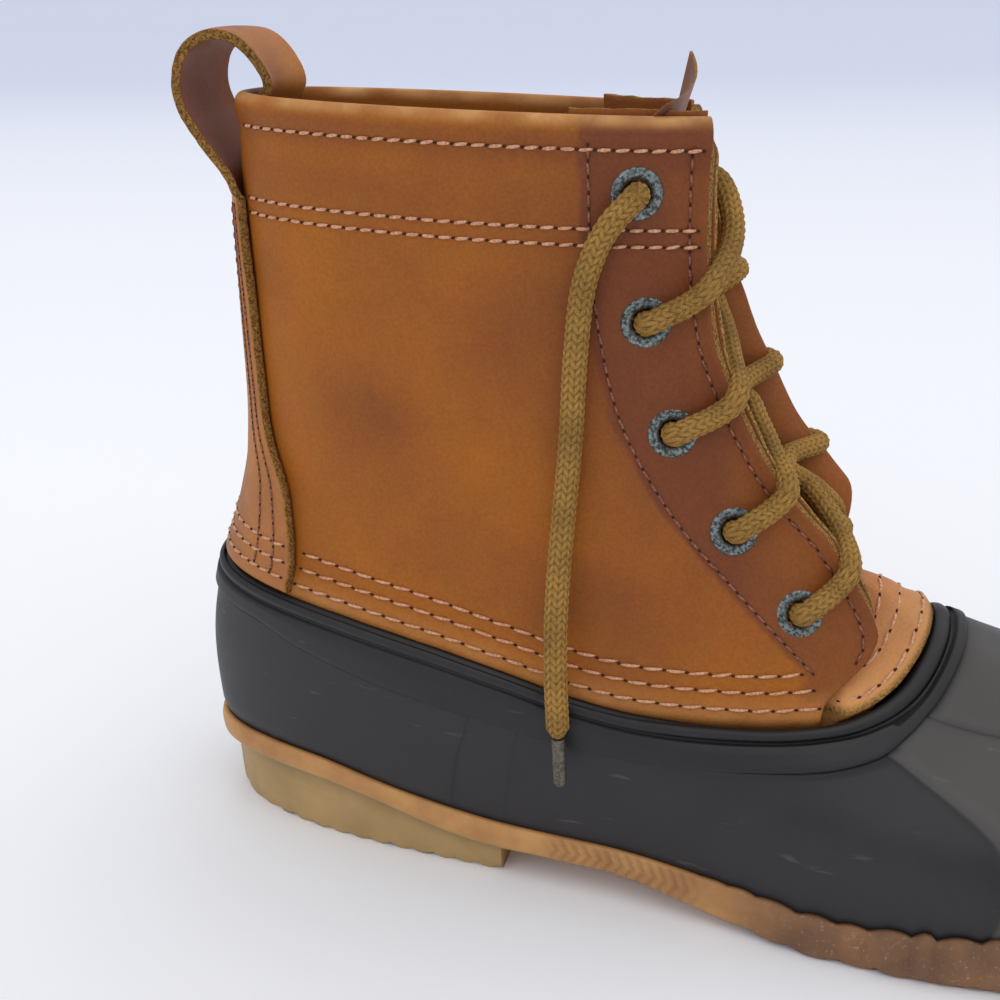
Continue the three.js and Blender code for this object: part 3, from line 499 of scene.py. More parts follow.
def lay_wall(name, surface, columns, rows, half, marks=None, folded=False):
    """A wall of one sheet, closed at its edges. surface(column, row, out) gives points, with
    out from -half to half; columns and rows are places and shares of the thickness. Its edges
    are cut leather, but for a last row that is folded over."""
    section = np.concatenate([rows, rows[-2:0:-1] * (1, -1)])
    share = section[:, 1:] * columns[None, :, 1]
    row, column = np.broadcast_arrays(section[:, :1], columns[None, :, 0])
    points = surface(column, row, share * half)
    cut = np.abs(share) < 0.9
    if folded:
        cut = cut & ((np.abs(columns[None, :, 1]) < 0.9) | (row < rows[:, 0].mean()))
    values = {"raw": cut.astype(float)}
    if marks:
        values.update(marks(column, row, share, points))
    return lay_grid(name, points, values, loop=True)


def finish_piece(piece, material, nodes=()):
    """Gives a piece its material, its body, and the frame's pieces that it stands for."""
    piece.data.materials.clear()
    piece.data.materials.append(material)
    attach(piece, "root")
    if nodes:
        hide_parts(*nodes)
    return piece


def smooth_path(points, step):
    """Points an even step apart on a smooth curve through a list of points, in millimetres."""
    points = np.asarray(points, float)
    ends = np.concatenate([[2 * points[0] - points[1]], points, [2 * points[-1] - points[-2]]])
    knots = np.concatenate([[0], np.cumsum(np.linalg.norm(np.diff(ends, axis=0), axis=-1) ** 0.5)])
    fine = []
    for i in range(1, len(ends) - 2):
        t = np.linspace(knots[i], knots[i + 1], 24, endpoint=False)[:, None]
        k = knots[i - 1 : i + 3]
        p = ends[i - 1 : i + 3]
        a = [((k[j + 1] - t) * p[j] + (t - k[j]) * p[j + 1]) / (k[j + 1] - k[j]) for j in range(3)]
        b = [((k[j + 2] - t) * a[j] + (t - k[j]) * a[j + 1]) / (k[j + 2] - k[j]) for j in range(2)]
        fine.append(((k[2] - t) * b[0] + (t - k[1]) * b[1]) / (k[2] - k[1]))
    fine = np.concatenate([*fine, points[-1:]])
    run = run_along(fine)
    at = np.linspace(0, run[-1], max(int(round(run[-1] / step)), 2) + 1)
    return at_run(at, run, fine), at


def carried_frames(path):
    """Two directions across a path that don't turn round it from point to point."""
    tangent = unit(np.gradient(path, axis=0))
    side = np.zeros_like(path)
    side[0] = unit(np.cross(tangent[0], (0.3, 0.5, 0.81)))
    for i in range(1, len(path)):
        side[i] = unit(side[i - 1] - tangent[i] * (side[i - 1] @ tangent[i]))
    return tangent, side, np.cross(tangent, side)


# Materials


def put(tree, kind, inputs=None, output=0, **settings):
    """Adds a node with its settings and links, and gives one of its outputs. An input takes a
    value or another node's output."""
    made = tree.nodes.new("ShaderNode" + kind)
    for name, value in settings.items():
        setattr(made, name, value)
    for key, value in (inputs or {}).items():
        if isinstance(value, bpy.types.NodeSocket):
            tree.links.new(value, made.inputs[key])
        else:
            made.inputs[key].default_value = value
    return made.outputs[output] if made.outputs else None


def new_material(name):
    """An empty material, its nodes, and the place on the object."""
    material = bpy.data.materials.new(name)
    material.use_nodes = True
    tree = material.node_tree
    tree.nodes.clear()
    return material, tree, put(tree, "TexCoord", output="Object")


def surface_of(tree, **sockets):
    """The shader and its output; socket names are written with _ for a space."""
    inputs = {key.replace("_", " "): value for key, value in sockets.items()}
    put(tree, "OutputMaterial", {"Surface": put(tree, "BsdfPrincipled", inputs)})


def per_mm(size):
    """Scale of a texture whose features are size millimetres across."""
    return 1 / (size * MM)


def leather_material(name, face, dark, light, raw, rough=0.5):
    """Oiled full-grain leather: fine grain, darker where oil and hands have burnished it,
    paler where it is rubbed, and on the collar's crest also with a painted highlight, with a fibrous cut edge."""
    material, tree, where = new_material(name)
    light = tint(light)
    cloud, mottle, fine, fibre = (
        put(tree, "TexNoise", {"Vector": where, "Scale": per_mm(size), "Detail": detail, "Roughness": rugged})
        for size, detail, rugged in ((44, 4, 0.55), (9, 5, 0.6), (0.8, 3, 0.65), (0.6, 4, 0.8))
    )
    clouds, tone, tooth, wear, gloss, fibres = (
        put(tree, "MapRange", {"Value": value, "From Min": low, "From Max": high, "To Min": first, "To Max": last})
        for value, low, high, first, last in (
            (cloud, 0.4, 0.66, 0, 0.4),
            (mottle, 0.3, 0.7, 0, 0.22),
            (fine, 0.35, 0.65, 0, 0.2),
            (mottle, 0.35, 0.6, 0.45, 1),
            (mottle, 0.3, 0.7, rough + 0.07, rough - 0.06),
            (fibre, 0.4, 0.6, 0, 1),
        )
    )
    burnish, rubbed, cut, fuzz = (
        put(tree, "Attribute", output="Fac", attribute_name=mark) for mark in ("burnish", "rubbed", "raw", "fuzz")
    )
    darkness = put(tree, "Math", {0: clouds, 1: burnish}, operation="ADD", use_clamp=True)
    # Paler where rubbed: worn leather, and on the collar's crest also a painted highlight.
    worn_and_highlit = put(tree, "Math", {0: rubbed, 1: wear}, operation="MULTIPLY", use_clamp=True)
    cut = put(tree, "Math", {0: cut, 1: fuzz}, operation="MAXIMUM")
    edge = put(tree, "Mix", {0: fibres, 6: tint("#4A3013"), 7: tint(raw)}, 2, data_type="RGBA")
    colour = face
    layers = (darkness, dark, "MIX"), (tone, light, "SOFT_LIGHT"), (tooth, dark, "MULTIPLY"), (worn_and_highlit, light, "MIX")
    for share, over, way in (*layers, (cut, edge, "MIX")):
        colour = put(tree, "Mix", {0: share, 6: colour, 7: over}, 2, data_type="RGBA", blend_type=way)
    grain = put(tree, "TexVoronoi", {"Vector": where, "Scale": per_mm(1.0)})
    relief = put(tree, "Math", {0: grain, 1: 0.3, 2: fine}, operation="MULTIPLY_ADD")
    frayed = put(tree, "Math", {0: fibres, 1: cut}, operation="MULTIPLY")
    relief = put(tree, "Math", {0: frayed, 1: 2.2, 2: relief}, operation="MULTIPLY_ADD")
    bump = put(tree, "Bump", {"Height": relief, "Strength": 0.3, "Distance": 0.3 * MM})
    gloss = put(tree, "Mix", {0: cut, 2: gloss, 3: 0.95})
    surface_of(tree, Base_Color=colour, Roughness=gloss, Specular_IOR_Level=0.2, Normal=bump)
    return material


def rubber_material():
    """Compression-moulded rubber: satin, almost black, greyer on the vamp, partly its own tone and partly a
    painted highlight, with faint scuffs.
    """
    material, tree, where = new_material("moulded_rubber")
    drawn = put(tree, "Mapping", {"Vector": where, "Rotation": (0.2, 0.5, 0.3), "Scale": (0.16, 1, 1)})
    cloud, scuff, fine = (
        put(tree, "TexNoise", {"Vector": at, "Scale": per_mm(size), "Detail": detail, "Roughness": rugged})
        for at, size, detail, rugged in ((where, 45, 6, 0.65), (drawn, 2.6, 5, 0.5), (where, 0.8, 4, 0.7))
    )
    clouds = put(tree, "MapRange", {"Value": cloud, "From Min": 0.35, "From Max": 0.65})
    scuffs = put(tree, "MapRange", {"Value": scuff, "From Min": 0.66, "From Max": 0.78, "To Max": 0.3})
    vamp, band = (put(tree, "Attribute", output="Fac", attribute_name=mark) for mark in ("vamp", "band"))
    colour = dye("rubber")
    # The vamp's paler grey is partly the panel's own tone and partly a painted highlight.
    for share, over in ((clouds, "#242124"), (vamp, "#45413D"), (band, "#131112"), (scuffs, "#77736F")):
        colour = put(tree, "Mix", {0: share, 6: colour, 7: tint(over)}, 2, data_type="RGBA")
    gloss = put(tree, "MapRange", {"Value": clouds, "To Min": 0.36, "To Max": 0.5})
    gloss = put(tree, "Math", {0: fine, 1: 0.12, 2: gloss}, operation="MULTIPLY_ADD")
    bump = put(tree, "Bump", {"Height": fine, "Strength": 0.12, "Distance": 0.2 * MM})
    surface_of(tree, Base_Color=colour, Roughness=gloss, Specular_IOR_Level=0.5, Normal=bump)
    return material


def gum_material():
    """Crepe-coloured gum rubber: orange and a little waxy on the band, tan and dusty below, with painted shade in
    its grooves and hollows.
    """
    material, tree, where = new_material("gum_rubber")
    cloud, fine = (
        put(tree, "TexNoise", {"Vector": where, "Scale": per_mm(size), "Detail": detail, "Roughness": rugged})
        for size, detail, rugged in ((16, 6, 0.6), (1.2, 5, 0.75))
    )
    clouds = put(tree, "MapRange", {"Value": cloud, "From Min": 0.35, "From Max": 0.65})
    dust = put(tree, "MapRange", {"Value": fine, "From Min": 0.58, "From Max": 0.72, "To Max": 0.5})
    low, lip, shade_in_hollows = (
        put(tree, "Attribute", output="Fac", attribute_name=mark) for mark in ("block", "lip", "shade_in_hollows")
    )
    dusty = put(tree, "Math", {0: dust, 1: lip}, operation="MULTIPLY")
    # Painted shade, dark brown, in the sole's grooves and hollows.
    hollow_shade = put(tree, "Math", {0: shade_in_hollows, 1: 0.75}, operation="MULTIPLY")
    colour, block, lump = (
        put(tree, "Mix", {0: clouds, 6: first, 7: tint(second)}, 2, data_type="RGBA")
        for first, second in ((dye("gum"), "#B07A44"), (dye("gum_block"), "#A58652"), (tint("#8C603A"), "#6C4A30"))
    )
    for share, over in ((low, block), (lip, lump), (dusty, tint("#D2B48C")), (hollow_shade, tint("#43301F"))):
        colour = put(tree, "Mix", {0: share, 6: colour, 7: over}, 2, data_type="RGBA")
    bump = put(tree, "Bump", {"Height": fine, "Strength": 0.3, "Distance": 0.35 * MM})
    surface_of(tree, Base_Color=colour, Roughness=0.55, IOR=1.5, Normal=bump)
    return material


def lace_material():
    """Braided polyester cord: a soft sheen on each plait, with painted shade down in the crossings."""
    material, tree, where = new_material("braided_polyester")
    cloud = put(tree, "TexNoise", {"Vector": where, "Scale": per_mm(9), "Detail": 4.0})
    yarn = put(tree, "TexNoise", {"Vector": where, "Scale": per_mm(0.3), "Detail": 2.0})
    clouds = put(tree, "MapRange", {"Value": cloud, "From Min": 0.35, "From Max": 0.65})
    strands = put(tree, "MapRange", {"Value": yarn, "From Min": 0.4, "From Max": 0.7, "To Max": 0.35})
    shade_in_hollows = put(tree, "Attribute", output="Fac", attribute_name="shade_in_hollows")
    colour = dye("lace")
    # The darkest colour is painted shade in the braid's hollows.
    for share, over in ((clouds, "#876127"), (strands, "#D0B072"), (shade_in_hollows, "#4F3717")):
        colour = put(tree, "Mix", {0: share, 6: colour, 7: tint(over)}, 2, data_type="RGBA")
    bump = put(tree, "Bump", {"Height": yarn, "Strength": 0.5, "Distance": 0.15 * MM})
    surface_of(tree, Base_Color=colour, Roughness=0.8, Specular_IOR_Level=0.2, Normal=bump)
    return material


def thread_material(name, colour, deep):
    """Waxed bonded thread: pale, slightly shiny, with darker plies."""
    material, tree, where = new_material(name)
    ply = put(tree, "TexNoise", {"Vector": where, "Scale": per_mm(0.5), "Detail": 3.0})
    plies = put(tree, "MapRange", {"Value": ply, "From Min": 0.35, "From Max": 0.65})
    base = put(tree, "Mix", {0: plies, 6: colour, 7: tint(deep)}, 2, data_type="RGBA")
    bump = put(tree, "Bump", {"Height": ply, "Strength": 0.4, "Distance": 0.1 * MM})
    surface_of(tree, Base_Color=base, Roughness=0.5, IOR=1.48, Normal=bump)
    return material


def metal_material(name, base, stain, rough):
    """Thin metal with a tumbled, antique finish: mottled with a darker stain."""
    material, tree, where = new_material(name)
    cloud = put(tree, "TexNoise", {"Vector": where, "Scale": per_mm(0.8), "Detail": 4.0, "Roughness": 0.7})
    clouds = put(tree, "MapRange", {"Value": cloud, "From Min": 0.42, "From Max": 0.58})
    colour = put(tree, "Mix", {0: clouds, 6: base, 7: tint(stain)}, 2, data_type="RGBA")
    gloss = put(tree, "MapRange", {"Value": clouds, "To Min": rough, "To Max": rough + 0.25})
    bump = put(tree, "Bump", {"Height": cloud, "Strength": 0.35, "Distance": 0.2 * MM})
    surface_of(tree, Base_Color=colour, Metallic=0.9, Roughness=gloss, Normal=bump)
    return material


def felt_material():
    """Brushed felt of the insole, matted underfoot."""
    material, tree, where = new_material("brushed_felt")
    nap = put(tree, "TexNoise", {"Vector": where, "Scale": per_mm(1.4), "Detail": 6.0, "Roughness": 0.8})
    colour = put(tree, "Mix", {0: nap, 6: tint("#6F6558"), 7: tint("#4A4239")}, 2, data_type="RGBA")
    bump = put(tree, "Bump", {"Height": nap, "Strength": 0.6, "Distance": 0.6 * MM})
    surface_of(tree, Base_Color=colour, Roughness=0.95, IOR=1.45, Sheen_Weight=0.3, Normal=bump)
    return material


def paper_material():
    """Matt white paper, with painted shade that greys it where the sweep is far away."""
    material, tree, place = new_material("paper_sweep")
    away = put(tree, "SeparateXYZ", {0: place}, 1)
    # Painted shade: the paper greys with distance, standing in for the light's falloff.
    painted_falloff = put(tree, "MapRange", {"Value": away, "From Min": 0.2, "From Max": 3.0})
    colour = put(tree, "Mix", {0: painted_falloff, 6: tint("#FFFFFF"), 7: tint("#DDE1EE")}, 2, data_type="RGBA")
    surface_of(tree, Base_Color=colour, Roughness=0.9)
    return material


def pit_material():
    """Needle holes: dark fibrous discs that paint the shade down in the holes."""
    material, tree, where = new_material("needle_hole_shade")
    fibre = put(tree, "TexNoise", {"Vector": where, "Scale": per_mm(0.6), "Detail": 2.0})
    colour = put(tree, "Mix", {0: fibre, 6: tint("#2A1409"), 7: tint("#3E2110")}, 2, data_type="RGBA")
    surface_of(tree, Base_Color=colour, Roughness=0.9, IOR=1.45)
    return material


# Routes of the lace's free ends, along its middle, as in the frame
LATERAL_END = (
    (76.1, -25.8, 172.0), (74.2, -26.1, 170.1), (71.0, -27.0, 166.6), (69.0, -27.3, 163.6),
    (67.4, -27.7, 160.4), (65.0, -28.7, 152.5), (63.7, -29.8, 140.0), (63.2, -30.4, 131.3),
    (62.9, -31.2, 122.5), (62.4, -32.4, 113.2), (61.8, -34.0, 104.0), (61.2, -37.8, 89.0),
    (61.3, -41.8, 76.0), (61.8, -44.3, 65.0), (62.2, -45.0, 57.0), (62.4, -45.0, 50.0),
)
MEDIAL_END = (
    (76.0, 23.2, 172.1), (74.2, 23.6, 170.4), (71.2, 24.7, 166.8), (69.4, 25.2, 163.7),
    (68.0, 25.7, 160.4), (66.0, 27.0, 152.5), (64.9, 28.6, 140.0), (64.5, 29.5, 131.3),
    (64.2, 30.7, 122.5), (63.8, 32.1, 113.2), (63.4, 33.8, 104.0), (63.0, 37.8, 89.0),
    (63.2, 41.8, 76.0), (63.6, 44.3, 65.0), (63.9, 45.0, 57.0), (64.0, 45.0, 50.0),
)
BRAID_COLUMNS = 12
BRAID_PITCH = 1.9
BRAID_RELIEF = 0.45
AGLET_LENGTH = 13
AGLET_DIAMETER = 3.4


def braid(path, run, radius):
    """Points of a round braid along a path, and how deep each lies, a mask for painted shade in its
    hollows: ribs of slanting plaits that meet in herringbones."""
    sides = 4 * BRAID_COLUMNS
    _, side, rise = carried_frames(path)
    angle = np.arange(sides) / sides * math.tau
    rib = angle / math.tau * BRAID_COLUMNS
    index = np.floor(rib)
    across = rib - index
    slant = np.where(index % 2 == 0, 1.0, -1.0)
    phase = run[:, None] / BRAID_PITCH + slant * (across - 0.5) * 0.75
    plait = np.abs(np.sin(math.pi * phase)) ** 0.8
    ribbed = 0.35 + 0.65 * np.sin(math.pi * np.clip(across, 0.05, 0.95)) ** 0.7
    height = ribbed[None, :] * (0.2 + 0.8 * plait)
    size = radius[:, None] * (1 - (1 - height) * BRAID_RELIEF / (of_boot("lace_diameter") / 2))
    ring = np.cos(angle)[None, :, None] * side[:, None] + np.sin(angle)[None, :, None] * rise[:, None]
    return path[:, None] + ring * size[..., None], np.clip((0.62 - height) / 0.5, 0, 1)


def lay_lace(name, route, taper=(0, 0), step=0.42, swell=0.2):
    """A length of lace along a route, closed at both ends."""
    path, run = smooth_path(route, step)
    radius = np.full(len(run), of_boot("lace_diameter") / 2 + swell)
    for reach, from_end in ((taper[0], run), (taper[1], run[-1] - run)):
        if reach:
            radius *= mix(0.55, 1, smooth(from_end, 0, reach))
    radius[[0, -1]] = 0
    points, shade_in_hollows = braid(path, run, radius)
    points[0] = path[0]
    points[-1] = path[-1]
    return lay_grid(name, points, {"shade_in_hollows": shade_in_hollows}, ring=True), path


def end_of_lace(side, route, material, tip_material):
    """One free end of the lace and its tip."""
    piece, path = lay_lace(f"lace_end_{side}_braid", route, taper=(0, 3), step=0.3, swell=0.35)
    finish_piece(piece, material, [f"lace_end_{side}"])
    direction = unit(np.subtract(route[-1], route[-2]))
    start = np.array(route[-1]) + direction * SEAT
    tip = aglet(f"lace_tip_{side}", start, direction, tip_material)
    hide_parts(f"aglet_{side}")
    of_boot("lace_diameter") * MM


def aglet(name, start, direction, material):
    """A tip of thin metal wrapped round the braid: a little flattened, its seam pressed in."""
    steps = (
        (0.0, 0.0), (0.0, 0.8), (0.12, 0.95), (0.4, 1.0), (3.0, 0.98), (3.5, 0.92), (4.0, 0.98),
        (11.5, 0.97), (12.5, 0.9), (12.9, 0.7), (AGLET_LENGTH, 0.45), (AGLET_LENGTH, 0.0),
    )
    sides = 32
    angle = np.arange(sides) / sides * math.tau
    across = unit(np.cross(direction, (0.0, 1.0, 0.0)))
    deep = np.cross(direction, across)
    seam = 1 - 0.1 * np.exp(-((np.angle(np.exp(1j * (angle - 4.4))) / 0.18) ** 2))
    rows = []
    ring = np.cos(angle)[:, None] * across + 0.8 * np.sin(angle)[:, None] * deep
    for run, share in steps:
        size = AGLET_DIAMETER / 2 * share * seam
        rows.append(start + direction * run + size[:, None] * ring)
    piece = lay_grid(name, np.array(rows), ring=True)
    select_only(piece)
    bpy.ops.object.shade_smooth_by_angle(angle=math.radians(35))
    return finish_piece(piece, material)


class BOOT_OT_lace_ends(bpy.types.Operator):
    """Adds the two free ends of the lace with their metal tips"""

    bl_idname = "boot.lace_ends"
    bl_label = "Lace ends"

    def execute(self, context):
        material = lace_material()
        tip = metal_material("crimped_aluminium", tint("#756E66"), "#5A544D", 0.38)
        end_of_lace("lateral", LATERAL_END, material, tip)
        end_of_lace("medial", MEDIAL_END, material, tip)
        return {"FINISHED"}


def eyelet_frame(side, row):
    """Centre and outward direction of an eyelet; rows count from the collar, from 0."""
    up, turn = EYELETS[row]
    turn = np.array(turn if side < 0 else 360 - turn)
    up = np.array(up)
    return shaft_face(turn, up, 0), unit(shaft_face(turn, up, 1) - shaft_face(turn, up, -1))


LINING = 1.5
INSIDE = 8.5


def throat_point(side, up, out, past=0.0):
    """A point at the throat's edge: past moves it on beyond the edge."""
    turn = read(THROAT, up, "turn")
    turn = turn if side < 0 else 360 - turn
    here = shaft_face(np.array(turn), np.array(up), out)
    behind = shaft_face(np.array(turn + side * 2.0), np.array(up), out)
    return here + unit(here - behind) * past


def front_point(up, y, forward):
    """A point in front of the throat: share of the height, place across, distance ahead."""
    edge = shaft_face(np.array(read(THROAT, up, "turn")), np.array(up), 0)
    return np.array([edge[0] + forward, y, edge[2]])


# The lace's long run down inside from the lateral top eyelet to the lowest medial one; its
# slanting runs from each lateral eyelet, lowest first, up to the next medial one; and its bars
# behind the throat to each lateral eyelet. Each place is a share of the height, a place across
# and a distance ahead of the throat's lateral edge; OVER_EDGE says where a run leaves it.
LONG_RUN = (
    (0.8, -12, -9), (0.68, -11, -7.5), (0.55, -9, -6), (0.44, -6, -4.4), (0.36, 1, -3), (0.29, 8, -1.5),
    (0.22, 13, -3),
)
OVER_EDGE = (0.21, 0.37, 0.545, 0.735)
SLANTS = (
    ((0.245, -8, 1.2), (0.288, 1, -0.6), (0.315, 7, -3.6), (0.322, 11, -7)),
    ((0.41, -8, -0.4), (0.45, 2, -2.2), (0.479, 9, -4.4)),
    ((0.592, -7, 0), (0.62, 1, -1), (0.645, 7, -2.6), (0.671, 12, -5)),
    ((0.8, -9, 4.2), (0.862, 0, 1.6), (0.885, 5, -2), (0.89, 7.5, -8)),
)
BARS = (
    ((0.215, 7, -1.5), (0.235, 0, -0.5), (0.2, -8, -2.5)),
    ((0.36, 9, -2.5), (0.34, 0, -3.8), (0.32, -9, -6.5)),
    ((0.51, 9, -3), (0.5, 0, -4.2), (0.49, -9, -8)),
    ((0.68, 8, -5), (0.67, 0, -6.8), (0.665, -9, -10)),
)


def lace_route():
    """The lace from the lateral top eyelet down to the lowest two, and up to the medial top."""
    route = [np.array(LATERAL_END[0])]

    def through(side, row, steps):
        centre, normal = eyelet_frame(side, row)
        route.extend(centre + normal * out for out in steps)

    inward = (2.5, 0, -INSIDE * 0.55, -INSIDE)
    through(-1, 0, inward)
    route.extend(front_point(*place) for place in LONG_RUN)
    through(1, 4, inward[::-1])
    for row in range(4, 0, -1):
        up, turn = EYELETS[row]
        level = up + (0.03 if row < 4 else -0.02)
        for out, past in ((3.2, -3.0), (1.2, 0.0), (-1.9, 0.8), (-5.2, -0.6)):
            route.append(throat_point(1, level, out, past=past))
        route.extend(front_point(*place) for place in BARS[4 - row])
        through(-1, row, inward[::-1])
        leaves = OVER_EDGE[4 - row]
        beside = mix(turn, read(THROAT, leaves, "turn"), 0.62)
        beside = shaft_face(np.array(beside), np.array(mix(up, leaves, 0.55)), 3.0)
        centre, normal = eyelet_frame(-1, row)
        route.append(mix(centre, beside, 0.42) + normal * 1.9)
        route.append(beside)
        route.append(throat_point(-1, leaves, 2.2, past=1.1))
        route.extend(front_point(*place) for place in SLANTS[4 - row])
        through(1, row - 1, inward[::-1])
    return [*route, np.array(MEDIAL_END[0])]


class BOOT_OT_lace_run(bpy.types.Operator):
    """Adds the lace where it runs through the eyelets and across the throat"""

    bl_idname = "boot.lace_run"
    bl_label = "Lace run"

    def execute(self, context):
        piece, _ = lay_lace("lace_run", lace_route())
        finish_piece(piece, bpy.data.materials["braided_polyester"], ["lace_crossings"])
        return {"FINISHED"}


def eyelet_profile():
    """Radius and height of a flanged eyelet with a rolled washer behind the leather."""
    bore = of_boot("eyelet_hole") / 2
    rim = of_boot("eyelet_diameter") / 2
    inner = -of_boot("leather") - LINING - 0.25
    face = [(rim - 0.2, 0.02), (rim, 0.15), (rim - 0.05, 0.4), (rim - 0.4, 0.62), (rim - 0.9, 0.7)]
    crown = [(bore + 1.0, 0.72), (bore + 0.45, 0.6), (bore + 0.1, 0.25), (bore, -0.2)]
    roll = [(bore, inner), (bore + 0.3, inner - 0.5), (rim - 1.6, inner - 0.6), (rim - 1.1, inner - 0.2)]
    barrel = [(rim - 1.4, inner), (bore + 0.5, inner + 0.05), (bore + 0.5, 0.0), (rim - 1.4, 0.0)]
    return np.array(face + crown + roll + barrel)


class BOOT_OT_eyelets(bpy.types.Operator):
    """Adds the ten flanged eyelets"""

    bl_idname = "boot.eyelets"
    bl_label = "Eyelets"

    def execute(self, context):
        material = metal_material("antique_plated_brass", dye("metal"), "#454B49", 0.4)
        profile = eyelet_profile()
        angle = np.arange(48) / 48 * math.tau
        for side, name in ((-1, "lateral"), (1, "medial")):
            for row in range(len(EYELETS)):
                centre, normal = eyelet_frame(side, row)
                across = unit(np.cross(normal, (0.0, 0.0, 1.0)))
                ring = np.cos(angle)[:, None] * across + np.sin(angle)[:, None] * np.cross(normal, across)
                points = centre + profile[:, None, :1] * ring + profile[:, None, 1:] * normal
                piece = lay_grid(f"eyelet_ring_{name}_{row + 1}", points, ring=True, loop=True)
                finish_piece(piece, material, [f"eyelet_{name}_{row + 1}"])
        return {"FINISHED"}


# Rubber lower

SEAM_GAP = 0.5
# Columns of the rubber from the heel's middle to the toe's: up to the strap's edge, then to
# each seam and across it
PANEL_COLUMNS = (34, 30, 4, 9, 4, 64, 4, 60, 4, 12)


def seam_turns(rise):
    return {name: read(SEAMS, rise, name) for name in list(SEAMS)[1:]}


def panel_turns(rise):
    """Turns of the rubber's panels at each column's own height: they follow its seams."""
    knots = [np.zeros_like(rise), np.full_like(rise, STRAP["turn"][0])]
    for turn in seam_turns(rise).values():
        knots += [turn - SEAM_GAP / 2, turn + SEAM_GAP / 2]
    return np.array([*knots, np.full_like(rise, 180)])


def turns_at(rise):
    """Turns of all columns for a row of heights, the lateral half first, then the medial."""
    runs = np.repeat(np.arange(len(PANEL_COLUMNS)), PANEL_COLUMNS)
    shares = np.concatenate([np.arange(count) / count for count in PANEL_COLUMNS])
    here = np.arange(len(runs))
    rise = np.broadcast_to(rise, (2 * len(runs),)).astype(float)
    lateral = panel_turns(rise[: len(runs)])
    forward = mix(lateral[runs, here], lateral[runs + 1, here], shares)
    medial = panel_turns(rise[len(runs) :][::-1])
    knots = np.append(runs, runs[-1])[1:]
    backward = mix(medial[knots, here], medial[knots + 1, here], np.append(shares, 1.0)[1:])
    return np.concatenate([forward, 360 - backward[::-1]])


def shell_relief(turn, rise):
    """Heel overlay with its second edge, and the vamp panels with a ridge at their edges."""
    half = around(turn)[1]
    seam = seam_turns(rise)
    behind = {name: 1 - smooth(half, at - SEAM_GAP / 2, at + SEAM_GAP / 2) for name, at in seam.items()}
    step = 0.5 * behind["rear"] + 0.3 * behind["front"]
    vamp = 0.45 * (1 - behind["lower"]) + 0.4 * (1 - behind["upper"])
    ridge = 0.45 * np.exp(-(((half - seam["lower"] - 1.2) / 1.3) ** 2))
    ridge += 0.4 * np.exp(-(((half - seam["upper"] - 1.0) / 1.1) ** 2))
    return step + vamp + ridge, 1 - behind["lower"]


class BOOT_OT_rubber_lower(bpy.types.Operator):
    """Adds the moulded rubber lower with its rim, bead, overlays and ridges"""

    bl_idname = "boot.rubber_lower"
    bl_label = "Rubber lower"

    def execute(self, context):
        fine = np.linspace(0, 360, 721)
        long_at = shell_length(fine)
        gum_at = gum_rise(fine)

        def gum(turn):
            return np.interp(turn, fine, gum_at)

        def below_rim(depth):
            return lambda turn: 1 - depth / np.interp(turn, fine, long_at)

        def band(share):
            tall = of_boot("rim_height") * share
            return lambda turn: below_rim(read(RIM, around(turn)[1], "band") * tall)(turn)

        def above_gum(share, top):
            return lambda turn: mix(gum(turn), top(turn), share)

        # Rows up the outside, over the bead and down the inside: height, distance out (None is
        # the relief of the panels) and whether the row belongs to the band
        wall = of_boot("rubber_wall")
        rows = [(lambda turn: gum(turn) * 0.5, 0.0, 0.0), (gum, 0.0, 0.0)]
        rows += [(above_gum(share, band(1.05)), None, 0.0) for share in np.linspace(0.06, 1, 30)]
        band_steps = ((1.025, 0.35), (1.008, 1.3), (0.985, 1.75), (0.95, 1.85), (0.8, 1.8), (0.6, 1.75))
        rows += [(band(depth), out, 1.0) for depth, out in band_steps]
        rows += [(below_rim(depth), out, 1.0) for depth, out in ((4.4, 1.7), (4.1, 1.45), (3.8, 0.75), (3.5, 0.4))]
        for angle in np.radians(np.linspace(-80, 75, 10)):
            rows.append((below_rim(1.75 + 1.5 * math.sin(angle)), 0.05 + 1.45 * math.cos(angle), 1.0))
        rows += [(below_rim(0.12), -0.6, 1.0), (below_rim(0.3), SEAT + 0.1 - of_boot("rubber_stand"), 1.0)]
        rows += [(below_rim(6), -wall, 0.0), (below_rim(12), -wall, 0.0)]
        rows += [(above_gum(share, lambda turn: 0.8), -wall, 0.0) for share in (0.75, 0.5, 0.25, 0)]
        points, marks = [], {"band": [], "vamp": []}
        for rise_of, out, banded in rows:
            turn = turns_at(np.full(1, 0.5))
            for _ in range(2):
                turn = turns_at(rise_of(turn))
            rise = rise_of(turn)
            relief, vamp = shell_relief(turn, rise)
            points.append(shell_face(turn, rise, relief if out is None else np.full(turn.shape, out)))
            marks["band"].append(np.full(turn.shape, banded))
            # The vamp mark paints the vamp paler: partly its own tone, partly a painted highlight.
            marks["vamp"].append(vamp * (1 - banded))
        foot = turns_at(np.zeros(1))
        for out, at in ((-wall, len(points)), (0.0, 0)):
            row = shell_face(foot, np.zeros_like(foot), np.full(foot.shape, out))
            row[:, 2] = bed_height(sole_share(around(foot)[2]))
            points.insert(at, row)
            for values in marks.values():
                values.insert(at, np.zeros_like(foot))
        marks = {key: np.array(values) for key, values in marks.items()}
        piece = lay_grid("rubber_lower", np.array(points), marks, ring=True, loop=True)
        finish_piece(piece, rubber_material(), ["rubber_shell"])
        return {"FINISHED"}


# Gum sole

HEEL_END = 0.296
HEEL_SET_IN = 1.6
HEEL_SET_BACK = 3
TREAD_PITCH = 10.5
TREAD_DEPTH = 2.4
TREAD_WAVE = 2.5


